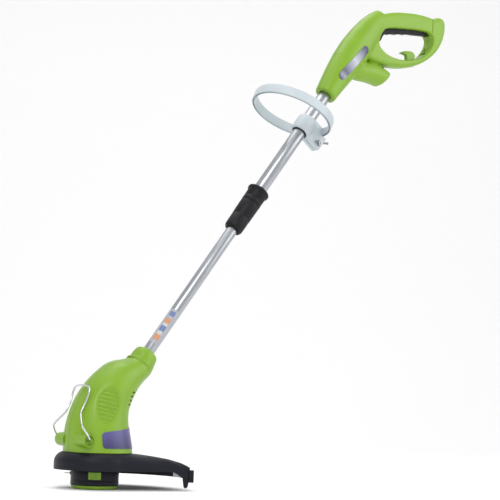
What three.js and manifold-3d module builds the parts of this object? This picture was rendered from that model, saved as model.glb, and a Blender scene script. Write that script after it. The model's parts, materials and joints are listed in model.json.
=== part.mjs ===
// Corded string trimmer: a telescoping two-tube shaft with a motor head, line spool and guard at the
// foot, a sliding loop handle, and a D-shaped rear handle with the trigger and the cord inlet.
// Millimetres, +Z up. The origin is the centre of the spool cap's flat underside; -X is forward,
// +X is towards the rear handle, and -Y is the side that the labels face.
import * as THREE from "three";
import { mergeVertices } from "three/addons/utils/BufferGeometryUtils.js";
import Module from "manifold-3d";

const wasm = await Module();
wasm.setup();

// ================================================================ driving dimensions
const { degToRad } = THREE.MathUtils;
const GAP = 0.3; // between pieces that rest on each other
const RUN = 0.8; // round pieces that turn or slide past their neighbours
const FACET_TOLERANCE = 0.12; // how far a facet may lie from the surface it stands for

// the shaft; stations are distances along it from the point where it crosses the spool's axis
const SHAFT_LEAN = degToRad(37.2);
const SHAFT_CROSSING = 109;
const LOWER_TUBE_OD = 22;
const TUBE_CLEARANCE = 0.5; // round the lower tube where it slides in the upper one
const TUBE_WALL = 1.5;
const LOWER_TUBE_FOOT = 125;
const NECK_MOUTH = 170;
const LOWER_TUBE_SHOWN = 303;
const LOWER_TUBE_OVERLAP = 150;
const LOCK_SLEEVE_LENGTH = 67;
const COLLAR_LENGTH = 38;
const UPPER_TUBE_SHOWN = 262;
const UPPER_TUBE_IN_COLLAR = 28;
const UPPER_TUBE_IN_HANDLE = 68;
const BUSH_LENGTH = 14;
const LEAD_RADIUS = 3.6;
const COIL_LEAD_RADIUS = 7.5;
const SLEEVE_WALL = 6.7;
const COLLAR_WALL = 6.2;
const FLANGE_STEP = 2.8;
const COLLET_WALL = 3.4;

// the motor head
const HOUSING_FOOT_Z = 64;
const HOUSING_WALL = 2.6;
const NECK_RADIUS = 22;
const PIVOT = { x: -44.5, y: 49, z: 85 }; // the wire guard's pivots, one each side
const PIVOT_BOSS_RADIUS = 11.5;
const PIVOT_DISH_DEPTH = 7;
const WIRE_RADIUS = 1.6;
const STATOR_RADIUS = 31;
const STATOR_BORE = 19;
const STATOR_Z = 94;
const STATOR_HEIGHT = 42;
const MOTOR_SHAFT_RADIUS = 4;
const FAN_RADIUS = 29;
const BEARING_RADIUS = 11;
const MOTOR_PLATE_RADIUS = 52;
const SCREW_RADIUS = 1.8;
const SCREW_HEAD_RADIUS = 3.6;

// the cutting head
const DRUM_RADIUS = 42.6;
const DRUM_FOOT_Z = 6.3;
const DRUM_TOP_Z = 47;
const DRUM_WALL = 2.6;
const CAP_HEIGHT = 6;
const CAP_INSET = 1.4; // the cap is this much smaller than the drum
const SPOOL_CLEARANCE = 7; // round the spool, inside the drum
const SPOOL_CORE_RADIUS = 15;
const LINE_RADIUS = 0.9;
const TAB_WIDTH = 22;
const TAB_Z = 17;
const TAB_HEIGHT = 13;
const DRUM_REST_TURN = degToRad(-32.4);

// the guard
const GUARD_FRONT_RADIUS = 73;
const GUARD_REACH = 168;
const GUARD_NEAR_ANGLE = degToRad(-36.5);
const GUARD_FAR_ANGLE = degToRad(50);
const GUARD_HUB_RADIUS = 26;
const GUARD_WALL = 3;
const GUARD_SIDE_LOW_Z = 33;
const GUARD_REAR_LOW_Z = 20;
const GUARD_FLANGE_LOW_Z = 5;

// the loop handle
const LOOP_BELOW_HANDLE = 75; // from the rear handle's foot to the loop's plane, along the shaft
const LOOP_TILT = degToRad(12.8); // its front leans towards the head
const LOOP_FORWARD = 40; // its centre is this far in front of the shaft
const LOOP_HALF_WIDTH = 79;
const LOOP_HALF_LENGTH = 81;
const STRAP_WIDTH = 19;
const STRAP_THICKNESS = 6.5;
const CLAMP_LENGTH = 36;
const CLAMP_WALL = 4.3;
const LINER_WALL = 2.2;
const LUG_REACH = 53;
const LUG_HALF_WIDTH = 11;
const CLAMP_BOLT_RADIUS = 2.9;

// the rear handle
const HANDLE_WALL = 2.6;
const GRIP_RISE = 10; // the grip's own origin is this far up the shaft from the handle's foot
const HANDLE_FOOT_RADIUS = 21.5;
const GRIP_HALF_WIDTH = 16.5;
const TRIGGER_HALF_WIDTH = 6.5;
const TRIGGER_PIVOT = { x: 267, z: 168 };
const TRIGGER_PIN_RADIUS = 2;
const TRIGGER_TRAVEL = degToRad(4);
const INLET_RADIUS = 22;
const INLET_DROP = degToRad(40); // the socket looks to the rear, this far below level
const INLET_MOUTH = { x: 148, z: 48 };
const BLADE_SPACING = 12.7;
const BLOCK_CLEARANCE = 2; // round the inlet block, inside the socket
const BLOCK_LENGTH = 18;

// ================================================================ sizes that follow from them
const LOWER_TUBE_RADIUS = LOWER_TUBE_OD / 2;
const UPPER_TUBE_RADIUS = LOWER_TUBE_RADIUS + TUBE_CLEARANCE + TUBE_WALL;
const SLEEVE_START = NECK_MOUTH + LOWER_TUBE_SHOWN;
const COLLAR_START = SLEEVE_START + LOCK_SLEEVE_LENGTH + GAP;
const COLLAR_END = COLLAR_START + COLLAR_LENGTH;
const UPPER_TUBE_FOOT = COLLAR_END - UPPER_TUBE_IN_COLLAR;
const LOWER_TUBE_HEAD = UPPER_TUBE_FOOT + LOWER_TUBE_OVERLAP;
const HANDLE_STATION = COLLAR_END + UPPER_TUBE_SHOWN;
const UPPER_TUBE_HEAD = HANDLE_STATION + UPPER_TUBE_IN_HANDLE;
const LOOP_STATION = HANDLE_STATION - LOOP_BELOW_HANDLE;
const SLEEVE_RADIUS = LOWER_TUBE_RADIUS + RUN + SLEEVE_WALL;
const COLLAR_RADIUS = UPPER_TUBE_RADIUS + GAP + COLLAR_WALL;
const COLLET_RADIUS = LOWER_TUBE_RADIUS + GAP + COLLET_WALL;
const LINER_BORE = UPPER_TUBE_RADIUS + GAP;
const LINER_RADIUS = LINER_BORE + LINER_WALL;
const CLAMP_RADIUS = LINER_RADIUS + GAP + CLAMP_WALL;
const GUARD_TOP_Z = HOUSING_FOOT_Z - 2 * GAP;
const CAP_RADIUS = DRUM_RADIUS - CAP_INSET;
const SPOOL_RADIUS = DRUM_RADIUS - DRUM_WALL - SPOOL_CLEARANCE;
const TAB_RADIUS = DRUM_RADIUS - GAP;
const TAB_DEPTH = 5.6;
const BLOCK_RADIUS = INLET_RADIUS - HANDLE_WALL - BLOCK_CLEARANCE;

// ================================================================ finishes
function finish(color, roughness, metalness = 0) {
  return new THREE.MeshStandardMaterial({ color, roughness, metalness });
}
const GREEN = finish(0x9cc63c, 0.42);
const BLACK = finish(0x30323c, 0.55);
const PALE_GREY = finish(0xccd6da, 0.5);
const ALUMINIUM = finish(0xb4b7bb, 0.32, 1);
const CHROME = finish(0xd8dadc, 0.12, 1);
const STEEL = finish(0x8d9096, 0.35, 1);
const COPPER = finish(0xb0703c, 0.4, 1);
const BRASS = finish(0xc7a24c, 0.35, 1);
const PURPLE = finish(0x625c98, 0.4);
const SLATE = finish(0x8f93ab, 0.4);
const NYLON = finish(0xdfe6c0, 0.5);

// ================================================================ shapes
// A closed mesh as a solid that can be joined and cut.
function solid(geometry) {
  const bare = geometry.clone();
  for (const name of Object.keys(bare.attributes)) {
    if (name !== "position") bare.deleteAttribute(name);
  }
  const merged = mergeVertices(bare, 1e-4);
  const corners = merged.index.array;
  const faces = [];
  for (let i = 0; i < corners.length; i += 3) {
    const [a, b, c] = [corners[i], corners[i + 1], corners[i + 2]];
    if (a !== b && b !== c && c !== a) faces.push(a, b, c);
  }
  const vertProperties = new Float32Array(merged.attributes.position.array);
  const build = (list) => new wasm.Manifold(
    new wasm.Mesh({ numProp: 3, vertProperties, triVerts: new Uint32Array(list) }),
  );
  const made = build(faces);
  return made.volume() < 0 ? build(faces.reverse()) : made;
}

function join(...solids) {
  return solids.reduce((sum, next) => sum.add(next));
}

// The main body of a solid, without the crumbs that cuts leave.
function mainBody(shape) {
  return shape.decompose().reduce((most, next) => (next.volume() > most.volume() ? next : most));
}

// A named mesh from a solid, or straight from a geometry.
function piece(name, shape, material, parent) {
  const body = (shape.isBufferGeometry ? solid(shape) : shape).simplify(FACET_TOLERANCE);
  const { vertProperties, triVerts, numProp } = body.getMesh();
  const positions = new Float32Array((vertProperties.length / numProp) * 3);
  for (let i = 0; i < positions.length / 3; i++) {
    positions.set(vertProperties.subarray(i * numProp, i * numProp + 3), i * 3);
  }
  const geometry = new THREE.BufferGeometry();
  geometry.setAttribute("position", new THREE.BufferAttribute(positions, 3));
  geometry.setIndex(new THREE.BufferAttribute(triVerts, 1));
  geometry.computeVertexNormals();
  const mesh = new THREE.Mesh(geometry, material);
  mesh.name = name;
  parent.add(mesh);
  return mesh;
}

// A turned shape about Z from [radius, z] points; it closes on the axis or on itself.
function turned(profile, segments = 28) {
  const points = profile.map(([r, z]) => new THREE.Vector2(r, z));
  if (profile.some(([r]) => r > 0) && profile[0][0] > 0) points.push(points[0].clone());
  return new THREE.LatheGeometry(points, segments).rotateX(Math.PI / 2);
}

function ringAbout(inner, outer, low, high, segments = 28) {
  return turned([[inner, low], [outer, low], [outer, high], [inner, high]], segments);
}

function disc(radius, low, high, segments = 28) {
  return turned([[0, low], [radius, low], [radius, high], [0, high]], segments);
}

function box(x0, x1, y0, y1, z0, z1) {
  const shape = new THREE.BoxGeometry(x1 - x0, y1 - y0, z1 - z0);
  return shape.translate((x0 + x1) / 2, (y0 + y1) / 2, (z0 + z1) / 2);
}

function rod(from, to, radius, segments = 16, endRadius = radius) {
  const along = new THREE.Vector3().subVectors(to, from);
  const shape = new THREE.CylinderGeometry(endRadius, radius, along.length(), segments);
  const turn = new THREE.Quaternion().setFromUnitVectors(
    new THREE.Vector3(0, 1, 0),
    along.clone().normalize(),
  );
  const middle = new THREE.Vector3().addVectors(from, to).multiplyScalar(0.5);
  return shape.applyQuaternion(turn).translate(middle.x, middle.y, middle.z);
}

function crossRod(x, z, y0, y1, radius, segments = 16) {
  return rod(new THREE.Vector3(x, y0, z), new THREE.Vector3(x, y1, z), radius, segments);
}

// An outline in the XZ plane, given as Vector2(x, z), with thickness along Y.
function prism(outline, y0, y1, bevel = 0) {
  const shape = new THREE.ExtrudeGeometry(new THREE.Shape(outline), {
    depth: y1 - y0 - 2 * bevel,
    bevelEnabled: bevel > 0,
    bevelThickness: bevel,
    bevelSize: bevel,
    bevelOffset: -bevel,
    bevelSegments: 2,
  });
  return shape.rotateX(Math.PI / 2).translate(0, y1 - bevel, 0);
}

function smoothOutline(points, count) {
  const curve = new THREE.SplineCurve(points.map(([x, z]) => new THREE.Vector2(x, z)));
  const first = curve.points[0];
  curve.points.push(first.clone());
  return curve.getSpacedPoints(count).slice(0, count);
}

// The outline moved outwards by a distance (inwards if negative); it runs anticlockwise.
function grown(outline, distance) {
  return outline.map((point, i) => {
    const before = outline[(i + outline.length - 1) % outline.length];
    const after = outline[(i + 1) % outline.length];
    const along = new THREE.Vector2().subVectors(after, before).normalize();
    return new THREE.Vector2(point.x + along.y * distance, point.y - along.x * distance);
  });
}

// A skin through rings of points, closed by fans at its ends, or end to end when looped.
function skin(rings, looped = false) {
  const count = rings[0].length;
  const vertices = rings.flat();
  const faces = [];
  const spans = looped ? rings.length : rings.length - 1;
  for (let i = 0; i < spans; i++) {
    const here = i * count;
    const next = ((i + 1) % rings.length) * count;
    for (let j = 0; j < count; j++) {
      const k = (j + 1) % count;
      faces.push(here + j, here + k, next + k, here + j, next + k, next + j);
    }
  }
  if (!looped) {
    for (const [start, turn] of [[0, 1], [(rings.length - 1) * count, -1]]) {
      const centre = new THREE.Vector3();
      for (let j = 0; j < count; j++) centre.add(vertices[start + j]);
      vertices.push(centre.divideScalar(count));
      for (let j = 0; j < count; j++) {
        const [a, b] = [start + j, start + ((j + 1) % count)];
        faces.push(vertices.length - 1, turn > 0 ? b : a, turn > 0 ? a : b);
      }
    }
  }
  const positions = vertices.flatMap((v) => [v.x, v.y, v.z]);
  const shape = new THREE.BufferGeometry();
  shape.setAttribute("position", new THREE.Float32BufferAttribute(positions, 3));
  shape.setIndex(faces);
  return shape;
}

// An oval ring of points about (x, z), tipped about Y by tilt; depth lies along X when level.
function oval({ x, z, tilt, depth, width, square = 2.2 }, inset, count = 20) {
  const points = [];
  for (let i = 0; i < count; i++) {
    const turn = (2 * Math.PI * i) / count;
    const bulge = (v) => Math.sign(v) * Math.abs(v) ** (2 / square);
    const across = (depth - inset) * bulge(Math.cos(turn));
    const side = (width - inset) * bulge(Math.sin(turn));
    points.push(new THREE.Vector3(
      x + across * Math.cos(tilt),
      side,
      z - across * Math.sin(tilt),
    ));
  }
  return points;
}

// A wire or spring along a curve.
function wire(curve, radius, steps, sides) {
  const section = new THREE.Shape();
  for (let i = 0; i < sides; i++) {
    const turn = (2 * Math.PI * i) / sides;
    const at = [radius * Math.cos(turn), radius * Math.sin(turn)];
    if (i) section.lineTo(...at);
    else section.moveTo(...at);
  }
  const options = { steps, extrudePath: curve, bevelEnabled: false };
  return new THREE.ExtrudeGeometry(section, options);
}

class Helix extends THREE.Curve {
  constructor(radius, low, high, turns) {
    super();
    Object.assign(this, { radius, low, high, turns });
  }

  getPoint(t, target = new THREE.Vector3()) {
    const turn = 2 * Math.PI * this.turns * t;
    return target.set(
      this.radius * Math.cos(turn),
      this.radius * Math.sin(turn),
      this.low + (this.high - this.low) * t,
    );
  }
}

function coil(radius, wireRadius, low, high, turns) {
  const helix = new Helix(radius, low + wireRadius, high - wireRadius, turns);
  return wire(helix, wireRadius, turns * 9, 5);
}

const NEAR_HALF = solid(box(-900, 900, -200, -GAP / 2, -900, 900));
const FAR_HALF = solid(box(-900, 900, GAP / 2, 200, -900, 900));

// ================================================================ frames
const trimmer = new THREE.Group();
const head = new THREE.Group();
const shaft = new THREE.Group();
const rotor = new THREE.Group();
const handle = new THREE.Group();
const inlet = new THREE.Group();
trimmer.add(head, shaft, handle);
head.add(rotor);
handle.add(inlet);

const ALONG_SHAFT = new THREE.Vector3(Math.sin(SHAFT_LEAN), 0, Math.cos(SHAFT_LEAN));
const BEHIND_SHAFT = new THREE.Vector3(Math.cos(SHAFT_LEAN), 0, -Math.sin(SHAFT_LEAN));
const crossing = new THREE.Vector3(0, 0, SHAFT_CROSSING);
const onShaft = (station) => crossing.clone().addScaledVector(ALONG_SHAFT, station);
shaft.position.copy(crossing);
shaft.rotation.y = SHAFT_LEAN; // in this group Z runs up the shaft and X is behind it
handle.position.copy(onShaft(HANDLE_STATION + GRIP_RISE));
rotor.rotation.z = DRUM_REST_TURN;
inlet.position.set(INLET_MOUTH.x, 0, INLET_MOUTH.z);
inlet.rotation.y = Math.PI / 2 + INLET_DROP; // Z points out of the socket

// ================================================================ shaft
function tube(radius, low, high) {
  return ringAbout(radius - TUBE_WALL, radius, low, high, 32);
}
piece("lower_tube", tube(LOWER_TUBE_RADIUS, LOWER_TUBE_FOOT, LOWER_TUBE_HEAD), ALUMINIUM, shaft);
piece("upper_tube", tube(UPPER_TUBE_RADIUS, UPPER_TUBE_FOOT, UPPER_TUBE_HEAD), ALUMINIUM, shaft);

// The guide bush plugs the lower tube's head and runs in the upper tube's bore.
function guideBush() {
  const bore = LEAD_RADIUS + GAP;
  const spigot = LOWER_TUBE_RADIUS - TUBE_WALL - GAP;
  const rim = UPPER_TUBE_RADIUS - TUBE_WALL - GAP;
  const seat = LOWER_TUBE_HEAD + GAP;
  return turned([
    [bore, seat - 20], [spigot, seat - 20], [spigot, seat], [rim, seat],
    [rim, seat + BUSH_LENGTH], [bore, seat + BUSH_LENGTH],
  ], 24);
}
piece("guide_bush", guideBush(), BLACK, shaft);
const BUSH_TOP = LOWER_TUBE_HEAD + GAP + BUSH_LENGTH;
piece("motor_lead", disc(LEAD_RADIUS, LOWER_TUBE_FOOT - 8, BUSH_TOP - 2, 12), BLACK, shaft);
piece("coiled_lead", disc(COIL_LEAD_RADIUS, BUSH_TOP + 4, UPPER_TUBE_HEAD - 6, 16), BLACK, shaft);

function lockSleeve() {
  const bore = LOWER_TUBE_RADIUS + RUN;
  const chamber = COLLET_RADIUS + RUN;
  const top = SLEEVE_START + LOCK_SLEEVE_LENGTH;
  const outside = new THREE.SplineCurve([
    new THREE.Vector2(SLEEVE_RADIUS - 3.2, SLEEVE_START),
    new THREE.Vector2(SLEEVE_RADIUS - 0.6, SLEEVE_START + 4),
    new THREE.Vector2(SLEEVE_RADIUS, SLEEVE_START + 30),
    new THREE.Vector2(COLLAR_RADIUS, top - 4),
  ]).getPoints(8).map((p) => [p.x, p.y]);
  return turned([
    [bore, SLEEVE_START], ...outside, [COLLAR_RADIUS - 0.8, top],
    [chamber, top], [chamber, SLEEVE_START + 22], [bore, SLEEVE_START + 22],
  ]);
}
piece("lock_sleeve", lockSleeve(), BLACK, shaft);

// The collet grips the lower tube; four slots let its fingers close.
function collet() {
  const low = SLEEVE_START + 22 + RUN;
  const high = UPPER_TUBE_FOOT - GAP;
  let shape = solid(ringAbout(LOWER_TUBE_RADIUS + GAP, COLLET_RADIUS, low, high, 24));
  for (let i = 0; i < 2; i++) {
    const slot = box(-COLLET_RADIUS - 1, COLLET_RADIUS + 1, -1, 1, low - 1, high - 14);
    shape = shape.subtract(solid(slot.rotateZ((i * Math.PI) / 2 + Math.PI / 4)));
  }
  return shape;
}
piece("collet", collet(), BLACK, shaft);

function shaftCollar() {
  const bore = UPPER_TUBE_RADIUS + GAP;
  const chamber = COLLET_RADIUS + GAP;
  const flange = COLLAR_RADIUS + FLANGE_STEP;
  const step = UPPER_TUBE_FOOT - GAP;
  return turned([
    [chamber, COLLAR_START], [COLLAR_RADIUS - 0.8, COLLAR_START],
    [COLLAR_RADIUS, COLLAR_START + 3], [COLLAR_RADIUS, COLLAR_END - 11],
    [flange, COLLAR_END - 8.5], [flange, COLLAR_END - 4.5],
    [bore + 1.6, COLLAR_END], [bore, COLLAR_END],
    [bore, step], [chamber, step],
  ]);
}
piece("shaft_collar", shaftCollar(), BLACK, shaft);

// ================================================================ loop handle
const LOOP_FRONT = new THREE.Vector3(-Math.cos(LOOP_TILT), 0, -Math.sin(LOOP_TILT));
const LOOP_ACROSS = new THREE.Vector3(Math.sin(LOOP_TILT), 0, -Math.cos(LOOP_TILT));
const CLAMP_START = LOOP_STATION - 30;
const LUG_X = CLAMP_RADIUS + 24;
const LUG_STATION = CLAMP_START + 12;

// A flat strap bent into an oval, its corners rounded.
function loopStrap() {
  const centre = new THREE.Vector3(0, 0, LOOP_STATION).addScaledVector(LOOP_FRONT, LOOP_FORWARD);
  const half = STRAP_WIDTH / 2;
  const corner = STRAP_THICKNESS / 3;
  const section = [
    [-half, corner], [-half + corner, STRAP_THICKNESS / 2], [half - corner, STRAP_THICKNESS / 2],
    [half, corner], [half, -corner], [half - corner, -STRAP_THICKNESS / 2],
    [-half + corner, -STRAP_THICKNESS / 2], [-half, -corner],
  ];
  const rings = [];
  const steps = 40;
  for (let i = 0; i < steps; i++) {
    const turn = (2 * Math.PI * i) / steps;
    rings.push(section.map(([across, out]) => centre.clone()
      .addScaledVector(LOOP_FRONT, (LOOP_HALF_LENGTH + out) * Math.cos(turn))
      .add(new THREE.Vector3(0, (LOOP_HALF_WIDTH + out) * Math.sin(turn), 0))
      .addScaledVector(LOOP_ACROSS, across)));
  }
  return skin(rings, true);
}

function loopHandle() {
  const top = CLAMP_START + CLAMP_LENGTH;
  const back = LOOP_HALF_LENGTH - LOOP_FORWARD + 1;
  const strap = solid(loopStrap());
  const collar = turned([
    [0, CLAMP_START], [CLAMP_RADIUS, CLAMP_START], [CLAMP_RADIUS, top - 6],
    [CLAMP_RADIUS - 3, top], [0, top],
  ]);
  const web = box(0, back, -9, 9, CLAMP_START + 6, LOOP_STATION + 14);
  const lug = box(0, LUG_REACH, -LUG_HALF_WIDTH, LUG_HALF_WIDTH, CLAMP_START, CLAMP_START + 32);
  const bore = disc(LINER_RADIUS + GAP, CLAMP_START - 40, top + 40);
  const slit = box(5, LUG_REACH + 5, -1, 1, CLAMP_START - 5, CLAMP_START + 27);
  const boltHole = crossRod(LUG_X, LUG_STATION, -30, 30, CLAMP_BOLT_RADIUS + GAP, 12);
  return join(strap, solid(collar), solid(web), solid(lug))
    .subtract(solid(bore)).subtract(solid(slit)).subtract(solid(boltHole));
}
piece("loop_handle", loopHandle(), PALE_GREY, shaft);

function clampLiner() {
  const ring = ringAbout(LINER_BORE, LINER_RADIUS, CLAMP_START - 1, CLAMP_START + CLAMP_LENGTH + 1);
  const slit = box(0, 30, -1, 1, CLAMP_START - 3, CLAMP_START + CLAMP_LENGTH + 3);
  return solid(ring).subtract(solid(slit));
}
piece("clamp_liner", clampLiner(), BLACK, shaft);

function clampBolt() {
  const seat = LUG_HALF_WIDTH + GAP;
  const shank = crossRod(LUG_X, LUG_STATION, -seat - 7, seat + 1, CLAMP_BOLT_RADIUS, 12);
  const hex = crossRod(LUG_X, LUG_STATION, seat, seat + 4, 5.2, 6);
  return join(solid(shank), solid(hex));
}
piece("clamp_bolt", clampBolt(), STEEL, shaft);

function wingNut() {
  const seat = -LUG_HALF_WIDTH - GAP;
  const hub = crossRod(LUG_X, LUG_STATION, seat - 6, seat, 6, 16);
  const hole = crossRod(LUG_X, LUG_STATION, seat - 8, seat + 2, CLAMP_BOLT_RADIUS + GAP, 12);
  let shape = solid(hub);
  for (const side of [-1, 1]) {
    const wing = (reach) => [reach * Math.cos(SHAFT_LEAN), reach * Math.sin(SHAFT_LEAN)];
    const [rootX, rootZ] = wing(side * 4);
    const [tipX, tipZ] = wing(side * 16);
    const root = new THREE.Vector3(LUG_X + rootX, seat - 3.5, LUG_STATION + rootZ);
    const tip = new THREE.Vector3(LUG_X + tipX, seat - 8.5, LUG_STATION + tipZ);
    shape = join(shape, solid(rod(root, tip, 1.4, 10, 2.8)));
  }
  return shape.subtract(solid(hole));
}
piece("wing_nut", wingNut(), STEEL, shaft);

// ================================================================ motor housing
// Sections of the housing from its foot to the mouth of its neck. The neck's sections lie on the
// shaft's axis, so that the bore stays central.
function neckSection(station, depth, width) {
  const { x, z } = onShaft(station);
  return { x, z, tilt: SHAFT_LEAN, depth, width };
}
const HOUSING_SECTIONS = [
  { x: 4, z: HOUSING_FOOT_Z, tilt: 0, depth: 60, width: 60 },
  { x: 2, z: 85, tilt: degToRad(1), depth: 58.5, width: 57 },
  { x: 1, z: 105, tilt: degToRad(3), depth: 56, width: 54 },
  { x: 3, z: 127, tilt: degToRad(8), depth: 52, width: 51 },
  { x: 9, z: 148, tilt: degToRad(15), depth: 48, width: 48 },
  { x: 20, z: 168, tilt: degToRad(23), depth: 44, width: 45.5 },
  { x: 35, z: 187, tilt: degToRad(31), depth: 39.5, width: 42 },
  { x: 54, z: 204, tilt: degToRad(37), depth: 34.5, width: 36.5 },
  neckSection(NECK_MOUTH - 33, NECK_RADIUS + 3.5, NECK_RADIUS + 4),
  neckSection(NECK_MOUTH - 12, NECK_RADIUS + 0.5, NECK_RADIUS + 0.5),
  neckSection(NECK_MOUTH - 4, NECK_RADIUS - 1.5, NECK_RADIUS - 1.5),
  neckSection(NECK_MOUTH, NECK_RADIUS - 6, NECK_RADIUS - 6),
];

function housingForm(inset, sections = HOUSING_SECTIONS) {
  return solid(skin(sections.map((section) => oval(section, inset))));
}

// The hollow stops short of the neck's mouth, and runs out through the open foot.
function housingHollow() {
  const kept = HOUSING_SECTIONS.slice(0, -2);
  kept[0] = { ...kept[0], z: HOUSING_FOOT_Z - 2 };
  return housingForm(HOUSING_WALL, kept);
}

const HOUSING_SCREWS = [
  { x: 43, z: 81, seat: 33 },
  { x: -40, z: 122, seat: 24 },
  { x: 24, z: 186, seat: 35 },
];
const MOTOR_PLATE_Z = HOUSING_FOOT_Z + GAP;
const LEDGE_Z = MOTOR_PLATE_Z + 4 + GAP;
const BRACKET_Z = 152;

function slab(low, high) {
  return solid(box(-150, 250, -100, 100, low, high));
}

// Screws run across from the far side: a clearance hole, a counterbore, and a post round them.
function screwPost({ x, z }, reach) {
  return solid(crossRod(x, z, -reach, reach, SCREW_HEAD_RADIUS + 1.4, 10));
}
function screwHole({ x, z, seat }) {
  const shank = crossRod(x, z, -seat + 4, 90, SCREW_RADIUS + GAP + 0.2, 8);
  const head = crossRod(x, z, seat, 90, SCREW_HEAD_RADIUS + GAP + 0.2, 12);
  return join(solid(shank), solid(head));
}
function screw({ x, z, seat }) {
  const shank = crossRod(x, z, -seat + 5, seat + 1, SCREW_RADIUS, 10);
  const head = crossRod(x, z, seat + GAP, seat + GAP + 2.4, SCREW_HEAD_RADIUS, 14);
  return join(solid(shank), solid(head));
}

function sideVents() {
  let vents = null;
  for (let i = 0; i < 6; i++) {
    const z = 126 + i * 8.6;
    const middle = -7 + i * 1.6;
    const slot = box(middle - 16 + i, middle + 16 - i, -90, 90, z - 1.6, z + 1.6);
    vents = vents ? join(vents, solid(slot)) : solid(slot);
  }
  return vents;
}

function rearVents() {
  let vents = null;
  for (let i = 0; i < 3; i++) {
    const z = 152 + i * 8;
    const slot = join(
      solid(box(30, 120, 8, 28, z - 1.3, z + 1.3)),
      solid(box(30, 120, -28, -8, z - 1.3, z + 1.3)),
    );
    vents = vents ? join(vents, slot) : slot;
  }
  return vents;
}

function housing() {
  const hollow = housingHollow();
  const skinOnly = housingForm(0).subtract(hollow).subtract(rearVents()).subtract(
    sideVents().subtract(solid(box(-150, 250, -30, 30, 100, 200))),
  );
  const stator = solid(disc(STATOR_RADIUS + GAP, 60, 240));
  const bracket = solid(disc(14, 60, 240));
  const lining = housingForm(HOUSING_WALL / 2); // ribs and ledges root in the wall's middle
  const ledge = lining.intersect(slab(LEDGE_Z, LEDGE_Z + 2.2))
    .subtract(solid(disc(MOTOR_PLATE_RADIUS - 6, 60, 100)));
  const lowRib = lining.intersect(slab(STATOR_Z + 4, STATOR_Z + 6.5)).subtract(stator);
  const bracketRib = lining.intersect(slab(BRACKET_Z + 2, BRACKET_Z + 4.5)).subtract(bracket);
  const neckRib = lining.intersect(
    solid(rod(onShaft(LOWER_TUBE_FOOT + 10), onShaft(LOWER_TUBE_FOOT + 13), 60, 24)),
  );
  let shape = join(skinOnly, ledge, lowRib, bracketRib, neckRib);
  for (const side of [-1, 1]) {
    const boss = solid(crossRod(
      PIVOT.x, PIVOT.z, side * 12, side * PIVOT.y, PIVOT_BOSS_RADIUS, 20,
    )).subtract(housingForm(HOUSING_WALL + 0.5));
    const dish = solid(crossRod(
      PIVOT.x, PIVOT.z, side * (PIVOT.y - PIVOT_DISH_DEPTH), side * 90, PIVOT_BOSS_RADIUS - 2.2, 20,
    ));
    const bore = solid(crossRod(PIVOT.x, PIVOT.z, side * 35.5, side * 90, WIRE_RADIUS + GAP, 14));
    shape = shape.add(boss).subtract(dish).subtract(bore);
  }
  const posts = join(...HOUSING_SCREWS.map((at) => screwPost(at, 70)));
  shape = shape.add(posts.intersect(housingForm(1)).subtract(solid(disc(34, 60, 150))));
  for (const at of HOUSING_SCREWS) shape = shape.subtract(screwHole(at));
  const bore = rod(
    onShaft(LOWER_TUBE_FOOT - 4), onShaft(NECK_MOUTH + 30), LOWER_TUBE_RADIUS + GAP, 32,
  );
  return shape.subtract(solid(bore));
}
const wholeHousing = housing();
piece("housing_near", mainBody(wholeHousing.intersect(NEAR_HALF)), GREEN, head);
piece("housing_far", mainBody(wholeHousing.intersect(FAR_HALF)), GREEN, head);
HOUSING_SCREWS.forEach((at, i) => piece(`housing_screw_${i + 1}`, screw(at), STEEL, head));

// A thin plate that follows the housing's side.
function headLabel() {
  const outline = [[-18, 74], [51, 75], [50, 115], [-22, 102]].map(([x, z]) => new THREE.Vector2(x, z));
  const band = housingForm(-1.1).subtract(housingForm(-GAP));
  return band.intersect(solid(prism(outline, -80, -8)));
}
piece("head_label", headLabel(), PURPLE, head);

// ================================================================ motor
function motorPlate() {
  const top = MOTOR_PLATE_Z + 4;
  const pocket = BEARING_RADIUS + GAP;
  const plate = solid(turned([
    [MOTOR_SHAFT_RADIUS + 2, MOTOR_PLATE_Z], [MOTOR_PLATE_RADIUS, MOTOR_PLATE_Z],
    [MOTOR_PLATE_RADIUS, top], [pocket + 2.5, top], [pocket + 2.5, top + 8],
    [pocket, top + 8], [pocket, top], [MOTOR_SHAFT_RADIUS + 2, top],
  ]));
  return GUARD_SCREW_PLACES.reduce(
    (shape, [x, y]) => shape.subtract(solid(
      disc(SCREW_RADIUS + GAP, 60, 80, 12).translate(x, y, 0),
    )),
    plate,
  );
}
const GUARD_SCREW_PLACES = [60, 240].map((degrees) => [
  48 * Math.cos(degToRad(degrees)),
  48 * Math.sin(degToRad(degrees)),
]);
piece("motor_plate", motorPlate(), BLACK, head);
const LOWER_BEARING_Z = MOTOR_PLATE_Z + 4 + GAP;
piece("lower_bearing", ringAbout(
  MOTOR_SHAFT_RADIUS + GAP, BEARING_RADIUS, LOWER_BEARING_Z, LOWER_BEARING_Z + 7, 24,
), STEEL, head);
piece("upper_bearing", ringAbout(
  MOTOR_SHAFT_RADIUS + GAP, 9.5, BRACKET_Z, BRACKET_Z + 6, 24,
), STEEL, head);
piece("bearing_bracket", turned([
  [9.5 + GAP, BRACKET_Z], [13.6, BRACKET_Z], [13.6, BRACKET_Z + 5], [24, BRACKET_Z + 5],
  [24, BRACKET_Z + 8], [MOTOR_SHAFT_RADIUS + 1, BRACKET_Z + 8],
  [MOTOR_SHAFT_RADIUS + 1, BRACKET_Z + 6 + GAP], [9.5 + GAP, BRACKET_Z + 6 + GAP],
], 24), BLACK, head);

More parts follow.
